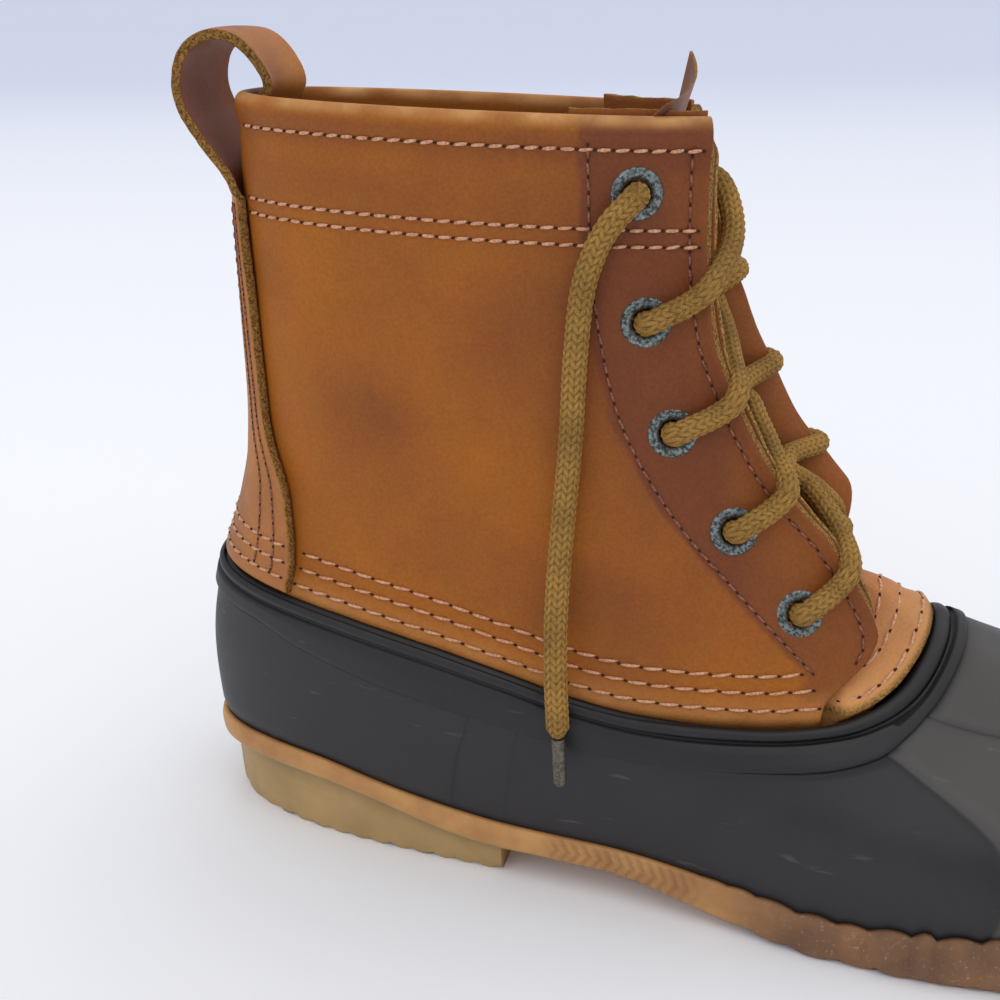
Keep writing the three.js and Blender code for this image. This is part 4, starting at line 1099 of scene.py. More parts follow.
def sole_shares():
    """Shares of the length an even step apart round the outline, finer at the waist's ribs."""
    run = np.linspace(0, 1, 4001)
    share = np.where(run < 0.5, 0.5 * (2 * run) ** 4, 1 - 0.5 * (2 - 2 * run) ** 4)
    outline = sole_outline(share, np.full(share.shape, -1.0))
    weight = 1 + 1.0 * ((share > 0.32) & (share < 0.48))
    steps = np.linalg.norm(np.diff(outline, axis=0), axis=-1) * weight[1:]
    reach = np.concatenate([[0], np.cumsum(steps)])
    even = np.interp(np.linspace(0, reach[-1], 290), reach, share)
    even = even[np.abs(even - HEEL_END) > 0.002]
    return np.sort(np.concatenate([even, [HEEL_END - 5e-4, HEEL_END + 5e-4]]))


def turn_of_share(share, side):
    along = np.linspace(0, 1, 4001)
    half = np.degrees(np.arccos(1 - 2 * np.interp(share, sole_share(along), along)))
    return np.where(side < 0, half, (360 - half) % 360)


def lumps(run, low, high, seed, tall):
    """Irregular rounded bumps side by side along a run in millimetres."""
    random = np.random.default_rng(seed)
    edges = [run.min() - high]
    while edges[-1] < run.max() + high:
        edges.append(edges[-1] + random.uniform(low, high))
    heights = random.uniform(0.45, 1, len(edges)) * tall
    i = np.clip(np.searchsorted(edges, run) - 1, 0, len(edges) - 2)
    start = np.array(edges)[i]
    wide = np.array(edges)[i + 1] - start
    return np.sin(math.pi * (run - start) / wide) ** 0.6 * heights[i]


def groove(x, y, share):
    """Depth of the zigzag grooves between the tread's chains of lugs."""
    period = 0.31 * of_boot("ball_width")
    zigzag = (2 * np.abs(2 * ((y / period) % 1) - 1) - 1) * TREAD_WAVE
    ball = 0.65 * of_boot("sole_length") - of_boot("heel_centre")
    heel = share < HEEL_END
    at = (x - np.where(heel, 0, ball) - zigzag) / TREAD_PITCH
    nearest = np.round(at)
    flat = (nearest == 0) | (~heel & (nearest < -4)) | (heel & (np.abs(nearest) > 2))
    away = np.abs(at - nearest) * TREAD_PITCH
    return np.where(flat, 0, TREAD_DEPTH * (1 - smooth(away, 1.0, 1.9)))


class BOOT_OT_gum_sole(bpy.types.Operator):
    """Adds the gum rubber outsole with heel block, ribs, lumpy lip and tread"""

    bl_idname = "boot.gum_sole"
    bl_label = "Gum sole"

    def execute(self, context):
        shares = sole_shares()
        share = np.concatenate([shares, shares[::-1]])
        side = np.repeat((-1.0, 1.0), len(shares))
        outline = sole_outline(share, side)
        outward = sole_outward(share, side)
        run = run_along(outline)
        turn = turn_of_share(share, side)
        rise = gum_rise(turn)
        low = underside(share)
        rough = smooth(share, 0.44, 0.56)
        heel = (share < HEEL_END).astype(float)
        bulge = rough * (lumps(run, 5, 11, 3, 2.6) - 0.7)
        ragged = rough * (lumps(run, 5, 11, 3, 2.3) - 1.1)
        ribs = smooth(share, 0.33, 0.35) * (1 - smooth(share, 0.45, 0.48))
        # The last mark is painted shade: in the lip's tuck under the rubber, between the ribs, under the heel's
        # step and in the tread's grooves.
        points, marks = [], {"block": [], "lip": [], "shade_in_hollows": []}

        def add(row, *values):
            points.append(row)
            for column, value in zip(marks.values(), values):
                column.append(np.broadcast_to(value, share.shape))

        # Top edge of the lip, tucked into the rubber
        for out in (-0.4, 0.1):
            row = shell_face(turn, rise, np.full(turn.shape, out))
            row[:, 2] += ragged - (0.8 if out < 0 else 0.0)
            add(row, 0, rough, rough * 0.8)
        lip_line = shell_face(turn, rise, np.full(turn.shape, LIP_SEAT + 0.75))
        lip_line[:, 2] += ragged + 0.15
        add(lip_line, 0, rough, 0)
        # Face of the band, lumpy at the forefoot and ribbed at the waist
        foot = low + 1.2 + rough * (0.6 - lumps(run, 7, 13, 8, 1.6))
        for q in np.linspace(0.08, 1, 15):
            row = mix(lip_line, outline, smooth(q, 0, 0.45))
            row[:, 2] = mix(lip_line[:, 2], foot, q)
            crown = math.sin(math.pi * min(q * 0.9 + 0.08, 1)) ** 0.7
            chevron = np.abs(((run / 2.8 + np.abs(q - 0.5) * 1.6) % 1) * 2 - 1)
            out = bulge * crown + ribs * 0.8 * chevron * (0.25 < q) + 0.35 * crown
            add(row + outward * out[:, None], heel * smooth(q, 0.92, 1), rough, ribs * (1 - chevron) * 0.5)
        row = sole_inset(share, side, 0.9)
        row[:, 2] = low + rough * groove(outline[:, 0], outline[:, 1], share) * 0.8
        add(row, heel, rough, 0.2)
        # Sides of the heel block, scalloped at the floor; ahead of it the tread's edge
        block = outline.copy()
        heel_front = HEEL_END * of_boot("sole_length")
        block[:, 0] = mix(HEEL_SET_BACK, heel_front, np.clip(share / HEEL_END, 0, 1)) - of_boot("heel_centre")
        block[:, 1] -= side * mix(HEEL_SET_BACK, HEEL_SET_IN, smooth(share, 0, 0.12)) * smooth(share, 0, 0.01)
        base = np.where(heel[:, None] > 0, block, sole_inset(share, side, 1.4))
        wave = 1.1 * np.abs(np.cos(math.pi * base[:, 0] / 6.2)) ** 3 * smooth(share, 0.02, 0.06)
        scallop = np.where(heel > 0, wave, groove(base[:, 0], base[:, 1], share))
        for q in (0.0, 0.06, 0.3, 0.6, 0.85, 0.96, 1.0):
            row = base.copy()
            row[:, 1] -= side * heel * (0.9 * q + 0.5 * smooth(q, 0.9, 1))
            row[:, 2] = np.where(heel > 0, mix(low, 0.0, q), low)
            row[:, 2] += scallop * smooth(q, 0.8, 1) * np.where(low < 12, 1, heel)
            add(row, heel, rough, 0.35 * heel * (q < 0.1))
        # Tread, from the edge to the middle line
        middle = read(SOLE, share, "centre") * of_boot("ball_width") / 2
        edge = points[-1]
        centre = edge.copy()
        centre[:, 1] = middle
        for q in np.linspace(0, 1, 36)[1:]:
            row = mix(edge, centre, q)
            cut = groove(row[:, 0], row[:, 1], share)
            row[:, 2] = np.where(heel > 0, 0.0, low) + cut
            add(row, heel, rough * 0.5, cut / TREAD_DEPTH * 0.8)
        # Footbed inside the rubber, from the middle line out to the lip
        bed = shell_face(turn, np.zeros(turn.shape), np.full(turn.shape, LIP_SEAT - 0.2))
        bed[:, 2] = bed_height(share) - SEAT
        top_centre = bed.copy()
        top_centre[:, 1] = middle
        head = [mix(top_centre, bed, q) for q in np.linspace(0, 1, 6)]
        for i, row in enumerate(head):
            row[:, 0] = mix(outline[:, 0], row[:, 0], i / 5)
        zero = [np.zeros(share.shape)] * len(head)
        marks = {key: np.array(zero + values) for key, values in marks.items()}
        piece = lay_grid("gum_sole", np.array(head + points), marks, ring=True)
        finish_piece(piece, gum_material(), ["outsole"])
        return {"FINISHED"}


class BOOT_OT_insole(bpy.types.Operator):
    """Gives the insole its felt"""

    bl_idname = "boot.insole"
    bl_label = "Insole"

    def execute(self, context):
        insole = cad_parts["insole"]
        insole.data.materials.clear()
        insole.data.materials.append(felt_material())
        return {"FINISHED"}


# Leather

# Burnished and rubbed places of the shaft: turn, share of the height, reach in degrees and
# in shares, and strength; below zero it is paler.
BURNISHED = (
    (62, 0.42, 14, 0.13, 0.55), (95, 0.16, 22, 0.09, 0.4), (118, 0.72, 20, 0.3, 0.45),
    (128, 0.45, 12, 0.25, 0.5), (70, 0.86, 40, 0.07, 0.35), (104, 0.55, 12, 0.2, 0.25),
    (50, 0.7, 12, 0.18, -0.25), (88, 0.36, 16, 0.1, -0.2),
)


def seam_line(x, z, side):
    """Turn and share of the height of a point of the shaft's side, given by length and height."""
    x, z = np.asarray(x, float), np.asarray(z, float)
    up = np.full(x.shape, 0.5)
    for _ in range(30):
        back = read(SHAFT, up, "back") * of_boot("sole_length")
        front = read(SHAFT, up, "front") * of_boot("sole_length")
        along = np.clip((x + of_boot("heel_centre") - back) / (front - back), 0, 1)
        half = np.degrees(np.arccos(1 - 2 * along))
        rim = rim_at(half)
        up = np.clip((z - rim) / (collar_at(along) - rim), 0, 1)
    return np.where(side < 0, half, 360 - half), up


# Seam of the stay that carries the eyelets: length and height in millimetres
EYESTAY = (
    (65.0, 182.0), (65.3, 170.0), (65.8, 158.0), (68.0, 141.0), (73.4, 121.0), (85.0, 100.7),
    (101.4, 81.7), (118.5, 63.5),
)
EDGE_INSET = 3.2


def inset_turn(up, depth):
    """Half turn at a depth in millimetres behind the throat's edge."""
    edge = read(THROAT, up, "turn")
    scale = np.linalg.norm(shaft_point(edge, up) - shaft_point(edge - 1, up), axis=-1)
    return edge - depth / scale


def shaft_lines():
    """Seams of the lateral half of the shaft as turns and shares of its height."""
    lines = {}
    for i, above in enumerate(BASE_ROWS):
        turn = np.linspace(45.7, (139.5, 139.5, 138.0)[i], 90)
        lines[f"base_{i}"] = (turn, above / (collar_at(around(turn)[2]) - rim_at(turn)))
    for i, below in enumerate((7.0, 23.5, 27.0)):
        turn = np.linspace(24.5, 150.0, 90)
        up = 1 - below / (collar_at(around(turn)[2]) - rim_at(turn))
        keep = turn < inset_turn(up, 1.2)
        lines[f"collar_{i}"] = (turn[keep], up[keep])
    path, _ = smooth_path([(x, 0, z) for x, z in EYESTAY], 2.0)
    lines["eyestay"] = seam_line(path[:, 0], path[:, 2], -1)
    up = np.linspace(0.94, 0.075, 110)
    lines["edge"] = (inset_turn(up, EDGE_INSET), up)
    return lines


def beside_line(turn, up, line, width):
    """How near points of the shaft lie to a seam: 1 on it, 0 beyond its width."""
    half = around(turn)[1]
    scale = np.linalg.norm(shaft_point(line[0], line[1]) - shaft_point(line[0] + 1, line[1]), axis=-1)
    tall = collar_at(around(line[0])[2]) - rim_at(around(line[0])[1])
    nearest = np.full(half.shape, 1e9)
    for at, level, across, high in zip(*line, scale, tall):
        away = ((half - at) * across) ** 2 + ((up - level) * high) ** 2
        nearest = np.minimum(nearest, away)
    return np.exp(-nearest / width**2)


def on_stay(points):
    """1 on the stay that carries the eyelets, 0 behind its seam."""
    stay = np.array(EYESTAY)[::-1]
    ahead = points[..., 0] - np.interp(points[..., 2], stay[:, 1], stay[:, 0])
    return smooth(ahead, -2.6, -1.0)


def shaft_marks(column, row, share, points):
    """Burnished, rubbed and reddened places of the shaft's face; the collar's crest is paler partly from wear and
    partly as a painted highlight.
    """
    turn = shaft_turn(column, row)
    half = around(turn)[1]
    burnish = np.zeros(half.shape)
    for at, level, wide, tall, strength in BURNISHED:
        burnish += strength * np.exp(-(((half - at) / wide) ** 2) - ((row - level) / tall) ** 2)
    up = np.clip(row, 0, 1)
    burnish = burnish + 0.6 * on_stay(points) * smooth(up, 0.0, 0.06) * (share > 0)
    burnish = burnish + 0.4 * smooth(up, 0.9, 0.95) * (1 - smooth(up, 0.965, 0.985))
    burnish = np.where(share < 0, 0.3, burnish)
    # The collar's crest is paler: wear, and a painted highlight where its top meets the light.
    worn_highlit_crest = smooth(up, 0.975, 0.995) * 0.95
    patches = 0.6 + 0.5 * waves(points, 14, 4)
    foot = 0.35 * (1 - smooth(up, 0.0, 0.06))
    rubbed = np.clip(worn_highlit_crest * patches + foot, 0, 1)
    return {"burnish": np.clip(burnish, -0.4, 0.95), "rubbed": rubbed}


def shaft_turn(column, row):
    half = np.abs(column) * read(THROAT, row, "turn")
    return np.where(column <= 0, half, 360 - half)


def skin(points, turn, up):
    """Relief of the shaft's face: soft waves, creases, the flare at the rim and the stay's
    own thickness."""
    relief = 0.25 * waves(points, 42, 1) + 0.08 * waves(points, 11, 2)
    return relief - 0.22 * crease(turn, up) + 0.9 * at_rim(up) + 0.4 * on_stay(points)


def collar_fold(up):
    """How far the folded collar stands out."""
    return 0.7 * smooth(up, 0.935, 0.965)


def shaft_surface(lines):
    def surface(column, row, out):
        turn = shaft_turn(column, row)
        up = np.clip(row, -0.05, 1.0)
        relief = skin(shaft_point(turn, up), turn, up) + collar_fold(up) * np.where(out < 0, 0.9, 1)
        for name, line in lines.items():
            depth = 0.32 if name.startswith("base") or name == "collar_0" else 0.24
            relief = relief - depth * beside_line(turn, up, line, 0.9)
        outside = np.clip(out / (of_boot("leather") / 2), 0, 1)
        inside = np.where(out < 0, -0.9 * collar_fold(up), 0)
        return shaft_face(turn, up, out - of_boot("leather") / 2 + relief * outside + inside)

    return surface


# Creases of the ankle: turn, share of the height, length in degrees, slope and width in mm
CREASES = (
    (98, 0.43, 17, 0.02, 1.1), (104, 0.405, 14, 0.05, 0.9), (90, 0.385, 12, -0.03, 1.0),
    (112, 0.44, 12, 0.09, 0.8), (84, 0.455, 10, 0.06, 0.9), (118, 0.41, 9, 0.12, 0.8),
)


def crease(turn, up):
    half = around(turn)[1]
    total = np.zeros(half.shape)
    for at, level, reach, slope, width in CREASES:
        share = (half - at) / reach
        centre = level + slope * share
        away = (up - centre) * 125 / width
        total += np.exp(-(away**2)) * np.exp(-((share * 1.3) ** 4))
    return total


def punch_eyelets(piece, reach):
    """Opens a hole through a wall at each eyelet."""
    mesh = piece.data
    centres = np.empty(len(mesh.polygons) * 3)
    mesh.polygons.foreach_get("center", centres)
    centres = centres.reshape(-1, 3) / MM
    inside = np.zeros(len(centres), bool)
    for side in (-1, 1):
        for row in range(len(EYELETS)):
            centre, normal = eyelet_frame(side, row)
            offset = centres - centre
            depth = offset @ normal
            radial = np.linalg.norm(offset - depth[:, None] * normal, axis=-1)
            inside |= (radial < reach) & (np.abs(depth) < 8)
    for part in (mesh.edges, mesh.vertices):
        part.foreach_set("select", np.zeros(len(part), bool))
    mesh.polygons.foreach_set("select", inside)
    select_only(piece)
    bpy.ops.object.mode_set(mode="EDIT")
    bpy.ops.mesh.select_mode(type="FACE")
    bpy.ops.mesh.delete(type="FACE")
    bpy.ops.mesh.select_mode(type="EDGE")
    bpy.ops.mesh.select_all(action="DESELECT")
    bpy.ops.object.mode_set(mode="OBJECT")


class BOOT_OT_leather_shaft(bpy.types.Operator):
    """Adds the leather shaft with its folded collar and raw front edges"""

    bl_idname = "boot.leather_shaft"
    bl_label = "Leather shaft"

    def execute(self, context):
        lines = shaft_lines()
        half = of_boot("leather") / 2
        tall = of_boot("collar_back") - of_boot("rim_height")
        columns = edge_steps(-1, 1, 241, CUT_EDGE, CUT_EDGE, 1 / 150)
        rows = edge_steps(-0.05, 1.0, 124, CUT_EDGE, [(d * 2.4, s) for d, s in FOLD_EDGE], 1 / tall)
        piece = lay_wall("shaft_leather", shaft_surface(lines), columns, rows, half, shaft_marks, folded=True)
        punch_eyelets(piece, 3.6)
        material = leather_material("oiled_tan_leather", dye("leather"), dye("leather_dark"), "#D8A062", "#B08448")
        finish_piece(piece, material, ["leather_shaft"])
        return {"FINISHED"}


class BOOT_OT_facings(bpy.types.Operator):
    """Adds the facings sewn behind the eyelets"""

    bl_idname = "boot.facings"
    bl_label = "Facings"

    def execute(self, context):
        material = leather_material("facing_leather", tint("#9A5C2A"), tint("#6A3A1E"), "#C98F55", "#BE9450", 0.6)
        stay = np.array(EYESTAY)
        rear_turn, rear_up = seam_line(stay[:, 0] - 4.0, stay[:, 1], -1)
        order = np.argsort(rear_up)
        for side, name in ((-1, "lateral"), (1, "medial")):

            def surface(column, row, out, side=side):
                up = np.clip(row, 0, 1)
                edge = read(THROAT, up, "turn") + 0.35 + 0.25 * np.sin(up * 40)
                rear = np.interp(up, rear_up[order], rear_turn[order])
                half = mix(rear, edge, column)
                turn = half if side < 0 else 360 - half
                inner = -of_boot("leather") - 0.45 - LINING / 2 - 0.65 * smooth(up, 0.93, 0.97)
                point = shaft_face(turn, up, inner + out)
                point[..., 2] += np.maximum(row - 1, 0) * 100 + 0.25 * waves(point, 5, 9) * smooth(row, 0.98, 1)
                return point

            columns = edge_steps(0, 1, 40, CUT_EDGE, CUT_EDGE, 1 / 35)
            rows = edge_steps(0.1, 1.012, 90, CUT_EDGE, CUT_EDGE, 1 / 100)
            piece = lay_wall(f"facing_{name}", surface, columns, rows, LINING / 2)
            punch_eyelets(piece, 3.8)
            finish_piece(piece, material)
        return {"FINISHED"}


class BOOT_OT_tongue(bpy.types.Operator):
    """Adds the tongue with the crescent at its foot"""

    bl_idname = "boot.tongue"
    bl_label = "Tongue"

    def execute(self, context):
        half = of_boot("tongue_leather") / 2

        def surface(column, row, out):
            point = tongue_point(column, row, out - half)
            return point + vectors(0.35 * waves(point, 30, 6), 0, 0)

        def marks(column, row, share, points):
            face = smooth(row, 0.12, 0.3)
            fuzz = smooth(row, -0.004, 0.0) * (1 - smooth(row, 0.006, 0.014)) * (share > 0)
            return {"burnish": 0.05 + 0.75 * face, "rubbed": 0.45 * (1 - smooth(row, 0.0, 0.12)), "fuzz": fuzz}

        columns = edge_steps(-1, 1, 110, CUT_EDGE, CUT_EDGE, 1 / 30)
        rows = edge_steps(-0.05, 2.0, 150, CUT_EDGE, CUT_EDGE, 1 / 60)
        piece = lay_wall("tongue_leather", surface, columns, rows, half, marks)
        material = leather_material("tongue_leather", tint("#DE9558"), tint("#7A5548"), "#D9A566", "#B88A45", 0.55)
        finish_piece(piece, material, ["tongue"])
        return {"FINISHED"}


# Folds of the pull loop: shares across it from back to front, and of its rise
LOOP_FOLDS = (
    (0.45, 0.13), (0.195, 0.38), (0.03, 0.56), (0.0, 0.72), (0.13, 0.91), (0.42, 1.0), (0.7, 0.97),
    (0.92, 0.835), (1.0, 0.68),
)
LOOP_BACK, LOOP_WIDTH, LOOP_RISE = 10.3, 21.5, 13
STRAP_LEAVES, STRAP_INSIDE, STRAP_TOP, STRAP_FOOT = 0.8, 0.86, 0.97, 0.008


def strap_surface(column, row, out):
    """The strap from its foot (0) up the back (1), over in the loop (2) and down inside (3)."""
    middle = STRAP_SEAT + of_boot("strap_thickness") / 2

    def turn_at(up):
        return (360 - column * read(STRAP, up, "turn")) % 360

    rise = mix(STRAP_FOOT, STRAP_LEAVES, np.clip(row, 0, 1))
    lower = shaft_face(turn_at(rise), rise, middle + out)
    inner = mix(STRAP_TOP, STRAP_INSIDE, np.clip(row - 2, 0, 1))
    upper = shaft_face(turn_at(inner), inner, -of_boot("leather") - middle - out)
    one = np.ones(np.shape(column))
    start = shaft_face(0 * one, STRAP_LEAVES * one, middle * one)
    end = shaft_face(0 * one, STRAP_TOP * one, (-of_boot("leather") - middle) * one)
    first, last = start.reshape(-1, 3)[0], end.reshape(-1, 3)[0]
    back = first[0] - LOOP_BACK
    top = of_boot("collar_back") + LOOP_RISE
    folds = [(back + across * LOOP_WIDTH, 0, mix(first[2], top, height)) for across, height in LOOP_FOLDS]
    curve, run = smooth_path([first, *folds, last], 0.25)
    tangent = unit(np.gradient(curve, axis=0))
    share = np.clip(row - 1, 0, 1)
    at = share * run[-1]
    centre = at_run(at, run, curve)
    along = at_run(at, run, tangent)
    spread_low = shaft_face(turn_at(STRAP_LEAVES * one), STRAP_LEAVES * one, middle * one) - start
    spread_high = shaft_face(turn_at(STRAP_TOP * one), STRAP_TOP * one, (-of_boot("leather") - middle) * one) - end
    flat = 1 - 0.85 * np.sin(math.pi * share) ** 0.5
    spread = mix(spread_low, spread_high, share[..., None])
    loop = vectors(
        centre[..., 0] + spread[..., 0] * flat - along[..., 2] * out,
        spread[..., 1],
        centre[..., 2] + spread[..., 2] + along[..., 0] * out,
    )
    return np.where((row <= 1)[..., None], lower, np.where((row < 2)[..., None], loop, upper))


class BOOT_OT_back_strap(bpy.types.Operator):
    """Adds the back strap with heel patch and pull loop"""

    bl_idname = "boot.back_strap"
    bl_label = "Back strap"

    def execute(self, context):
        half = of_boot("strap_thickness") / 2

        def surface(column, row, out):
            point = strap_surface(column, row, out)
            ragged = 0.25 * waves(point, 3.2, 8) * smooth(np.abs(column), 0.96, 1)
            return point + vectors(0, ragged * np.sign(column), 0)

        def marks(column, row, share, points):
            inner = (share < 0) & (row > 0.9)
            burnish = np.where(inner, 0.9, 0.25 + 0.2 * waves(points, 18, 3))
            return {"burnish": burnish, "rubbed": 0.12 * (share > 0)}

        columns = edge_steps(-1, 1, 56, CUT_EDGE, CUT_EDGE, 1 / 14)
        spacing = np.concatenate([np.linspace(0, 1, 90), np.linspace(1, 2, 110)[1:], np.linspace(2, 3, 16)[1:]])
        rows = edge_steps(0, 3, 0, CUT_EDGE, CUT_EDGE, 1 / 80, spacing)
        piece = lay_wall("strap_leather", surface, columns, rows, half, marks)
        material = leather_material("strap_leather", tint("#C4823F"), tint("#8C5434"), "#D09A66", "#A87C40")
        finish_piece(piece, material, ["back_strap"])
        return {"FINISHED"}


# Stitching

# Rows above the rubber's rim and below the collar, in millimetres; the stitch's share of its
# pitch; and how much longer than the plain pitch the stitches of each seam are
BASE_ROWS = (3.0, 7.0, 11.0)
STITCH_SHARE = 0.9
LONGER = {"base": 1.6, "collar": 1.15, "strap_base": 1.3, "strap_edge": 0.9}

def stitch_model():
    """One stitch: a plump length of thread whose ends dip into the leather."""
    bpy.ops.object.select_all(action="DESELECT")
    bpy.ops.mesh.primitive_uv_sphere_add(segments=8, ring_count=7, radius=1, rotation=(0, math.pi / 2, 0))
    model = bpy.context.object
    bpy.ops.object.transform_apply(location=False, rotation=True, scale=False)
    vertices = np.array([v.co[:] for v in model.data.vertices])
    faces = [tuple(face.vertices) for face in model.data.polygons]
    bpy.data.objects.remove(model)
    return vertices, faces


def seam_places(points, pitch):
    """Distances along a seam's points, its number of stitches and its length."""
    run = run_along(points)
    return run, max(int(run[-1] / pitch), 1), run[-1]


def mesh_piece(name, vertices, faces, material):
    """A piece of the shaft made from vertices in millimetres and faces."""
    mesh = bpy.data.meshes.new(name)
    mesh.from_pydata((np.asarray(vertices) * MM).tolist(), [], faces)
    piece = bpy.data.objects.new(name, mesh)
    bpy.context.scene.collection.objects.link(piece)
    return finish_piece(piece, material)


def sew(name, runs, material, thick):
    """Stitches along runs of points and normals, joined as one mesh."""
    model, model_faces = stitch_model()
    random = np.random.default_rng(11)
    vertices, faces = [], []
    for points, normals, pitch in runs:
        run, count, total = seam_places(points, pitch)
        half = pitch * STITCH_SHARE / 2
        for at in (np.arange(count) + 0.5) * total / count:
            start, end = at_run(np.array([at - half, at + half]), run, points)
            normal = unit(at_run(at, run, normals))
            along = unit(end - start)
            along = unit(along + np.cross(normal, along) * (0.1 + 0.05 * random.normal()))
            across = unit(np.cross(normal, along))
            centre = (start + end) / 2 + normal * thick * 0.6
            dip = model[:, 2] - 0.9 * model[:, 0] ** 2
            local = model[:, :1] * half * along + model[:, 1:2] * thick * across + dip[:, None] * thick * normal
            base = len(vertices) * len(model)
            vertices.append(centre + local)
            faces += [tuple(index + base for index in face) for face in model_faces]
    select_only(mesh_piece(name, np.concatenate(vertices), faces, material))
    bpy.ops.object.shade_smooth()


def pits(name, runs, material, radius):
    """Needle holes between the stitches of runs, as small dark dimples of painted shade."""
    sides = 8
    angle = np.arange(sides) / sides * math.tau
    vertices, faces = [], []
    for points, normals, pitch in runs:
        run, count, total = seam_places(points, pitch)
        for at in np.arange(count + 1) * total / count:
            centre = at_run(at, run, points)
            normal = unit(at_run(at, run, normals))
            along = unit(at_run(at + 0.5, run, points) - at_run(at - 0.5, run, points))
            across = unit(np.cross(normal, along))
            base = len(vertices)
            rim = np.cos(angle)[:, None] * along * radius * 1.25 + np.sin(angle)[:, None] * across * radius * 0.75
            vertices += [*(centre + normal * 0.22 + rim), *(centre - normal * 0.4 + rim * 0.6)]
            faces.append(tuple(base + i for i in range(sides)))
            faces.append(tuple(base + sides + i for i in reversed(range(sides))))
            for i in range(sides):
                j = (i + 1) % sides
                faces.append((base + i, base + sides + i, base + sides + j, base + j))
    mesh_piece(name, vertices, faces, material)


def run_on(surface, first, second):
    """Points and normals of a seam on a face given by two coordinates and an offset."""
    points = surface(first, second, np.zeros(first.shape))
    raised = surface(first, second, np.full(first.shape, 0.5))
    return points, unit(raised - points)


class BOOT_OT_stitching(bpy.types.Operator):
    """Sews the seams of shaft, strap, tongue and crescent"""

    bl_idname = "boot.stitching"
    bl_label = "Stitching"

    def execute(self, context):
        pitch = of_boot("stitch_pitch")
        half = of_boot("strap_thickness") / 2
        base, fine = [], []

        def on_shaft(turn, up, out):
            points = shaft_point(turn, up)
            return shaft_face(turn, up, out + skin(points, turn, up) + collar_fold(up) - 0.12)

        def on_strap(column, row, out):
            return strap_surface(column, row, out + half)

        for name, (turn, up) in shaft_lines().items():
            kind = name.split("_")[0]
            seams = base if kind in LONGER else fine
            for side in (-1, 1):
                turns = turn if side < 0 else 360 - turn
                seams.append((*run_on(on_shaft, turns, up), pitch * LONGER.get(kind, 1)))
        for above in BASE_ROWS:
            rows = np.full(70, above / (of_boot("collar_back") - of_boot("rim_height")) / STRAP_LEAVES)
            seam = run_on(on_strap, np.linspace(-0.96, 0.96, 70), rows)
            base.append((*seam, pitch * LONGER["strap_base"]))
        for column in (-0.88, -0.74, 0.88, 0.74):
            seam = run_on(on_strap, np.full(90, column), np.linspace(0.04, 0.98, 90))
            fine.append((*seam, pitch * LONGER["strap_edge"]))
        for above in BASE_ROWS:
            turn = np.linspace(141.5 + above, 218.5 - above, 90)
            up = above / (collar_at(around(turn)[2]) - rim_at(around(turn)[1]))
            seam = run_on(tongue_point, (turn - 180) / read(TONGUE, up, "reach"), up)
            base.append((*seam, pitch * LONGER["base"]))
        sew("base_stitches", base, thread_material("waxed_thread", dye("thread"), "#B97B55"), 0.42)
        sew("fine_stitches", fine, thread_material("fine_thread", tint("#A5684C"), "#5E3626"), 0.33)
        pit = pit_material()
        pits("base_needle_holes", base, pit, 0.42)
        pits("fine_needle_holes", fine, pit, 0.38)
        return {"FINISHED"}


# Stage

# Camera from the photo: focal length in pixels of a 1000-pixel frame, angles in degrees, and
# place in millimetres.
FOCAL = 1249
AZIMUTH = 16.93
PITCH = 21.85
ROLL = 1.72
CAMERA_PLACE = (124.1, -288.6, 210.9)


def add_camera():
    a, p, r = (math.radians(value) for value in (AZIMUTH, PITCH, ROLL))
    right = Vector((math.cos(a), math.sin(a), 0))
    ahead = Vector((-math.sin(a), math.cos(a), 0))
    forward = ahead * math.cos(p) - Vector((0, 0, math.sin(p)))
    down = -ahead * math.sin(p) - Vector((0, 0, math.cos(p)))
    x = right * math.cos(r) + down * math.sin(r)
    y = right * math.sin(r) - down * math.cos(r)
    turned = Matrix((x, y, -forward)).transposed().to_4x4()
    bpy.ops.object.camera_add()
    camera = bpy.context.object
    camera.name = "camera"
    camera.data.sensor_width = 36
    camera.data.lens = FOCAL * 36 / 1000
    camera.data.clip_start = 0.01
    camera.matrix_world = Matrix.Translation(Vector(CAMERA_PLACE) * MM) @ turned
    bpy.context.scene.camera = camera


def add_sun(name, source, strength, spread_angle, colour):
    """A very soft sun: an even light from one side of the room."""
    bpy.ops.object.light_add(type="SUN", location=source)
    light = bpy.context.object
    light.name = name
    light.rotation_euler = Vector(source).to_track_quat("Z", "Y").to_euler()
    light.data.energy = strength
    light.data.angle = math.radians(spread_angle)
    light.data.color = linear(colour)


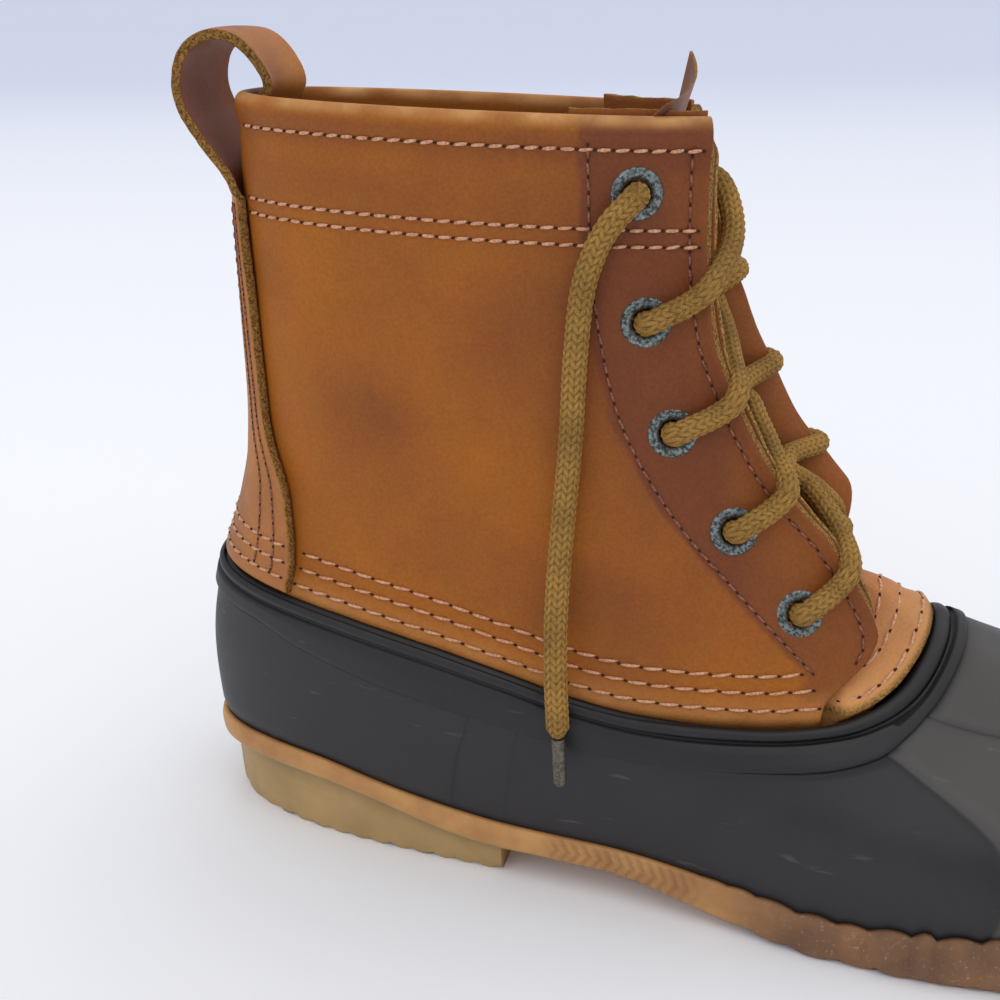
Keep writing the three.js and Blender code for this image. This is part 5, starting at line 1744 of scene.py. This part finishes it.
class BOOT_OT_stage(bpy.types.Operator):
    """Adds the floor, the soft lights and the camera"""

    bl_idname = "boot.stage"
    bl_label = "Stage"

    def execute(self, context):
        add_camera()
        sweep = [(-4, 0), (0, 0), (2.6, 0), (3.2, 0.03), (3.7, 0.14), (4.1, 0.4), (4.3, 0.8), (4.35, 2.6)]
        rows = [[(x * 1000, y * 1000, z * 1000) for x in (-5, 0, 5)] for y, z in sweep]
        floor = lay_grid("floor", np.array(rows, float))
        floor.data.materials.append(paper_material())
        world = bpy.data.worlds.new("studio_air")
        context.scene.world = world
        world.use_nodes = True
        sky = world.node_tree.nodes["Background"]
        sky.inputs["Color"].default_value = tint("#E9EDF7")
        sky.inputs["Strength"].default_value = 0.68
        add_sun("skylight", (0.4, 0.15, 1.0), 1.05, 90, "#FFFDF8")
        add_sun("window", (-0.5, -1.0, 0.9), 0.42, 60, "#F2F5FF")
        context.scene.view_settings.view_transform = "Standard"
        return {"FINISHED"}


class BOOT_PT_panel(bpy.types.Panel):
    """Lists the boot's sizes, colours and pieces"""

    bl_idname = "BOOT_PT_panel"
    bl_label = "Duck boot"
    bl_space_type = "VIEW_3D"
    bl_region_type = "UI"
    bl_category = "Boot"

    def draw(self, context):
        layout = self.layout
        for group in (context.scene.boot_sizes, context.scene.boot_colours):
            for name in group.__annotations__:
                layout.prop(group, name)
        for operator in OPERATORS:
            layout.operator(operator.bl_idname)


OPERATORS = (
    BOOT_OT_stage,
    BOOT_OT_lace_ends,
    BOOT_OT_lace_run,
    BOOT_OT_rubber_lower,
    BOOT_OT_gum_sole,
    BOOT_OT_insole,
    BOOT_OT_leather_shaft,
    BOOT_OT_facings,
    BOOT_OT_tongue,
    BOOT_OT_back_strap,
    BOOT_OT_eyelets,
    BOOT_OT_stitching,
)
CLASSES = (BootSizes, BootColours, *OPERATORS, BOOT_PT_panel)


def register():
    for each in CLASSES:
        bpy.utils.register_class(each)
    bpy.types.Scene.boot_sizes = bpy.props.PointerProperty(type=BootSizes)
    bpy.types.Scene.boot_colours = bpy.props.PointerProperty(type=BootColours)


def unregister():
    del bpy.types.Scene.boot_sizes
    del bpy.types.Scene.boot_colours
    for each in reversed(CLASSES):
        bpy.utils.unregister_class(each)


def main():
    register()
    for operator in OPERATORS:
        group, name = operator.bl_idname.split(".")
        getattr(getattr(bpy.ops, group), name)()


if __name__ == "__main__":
    main()
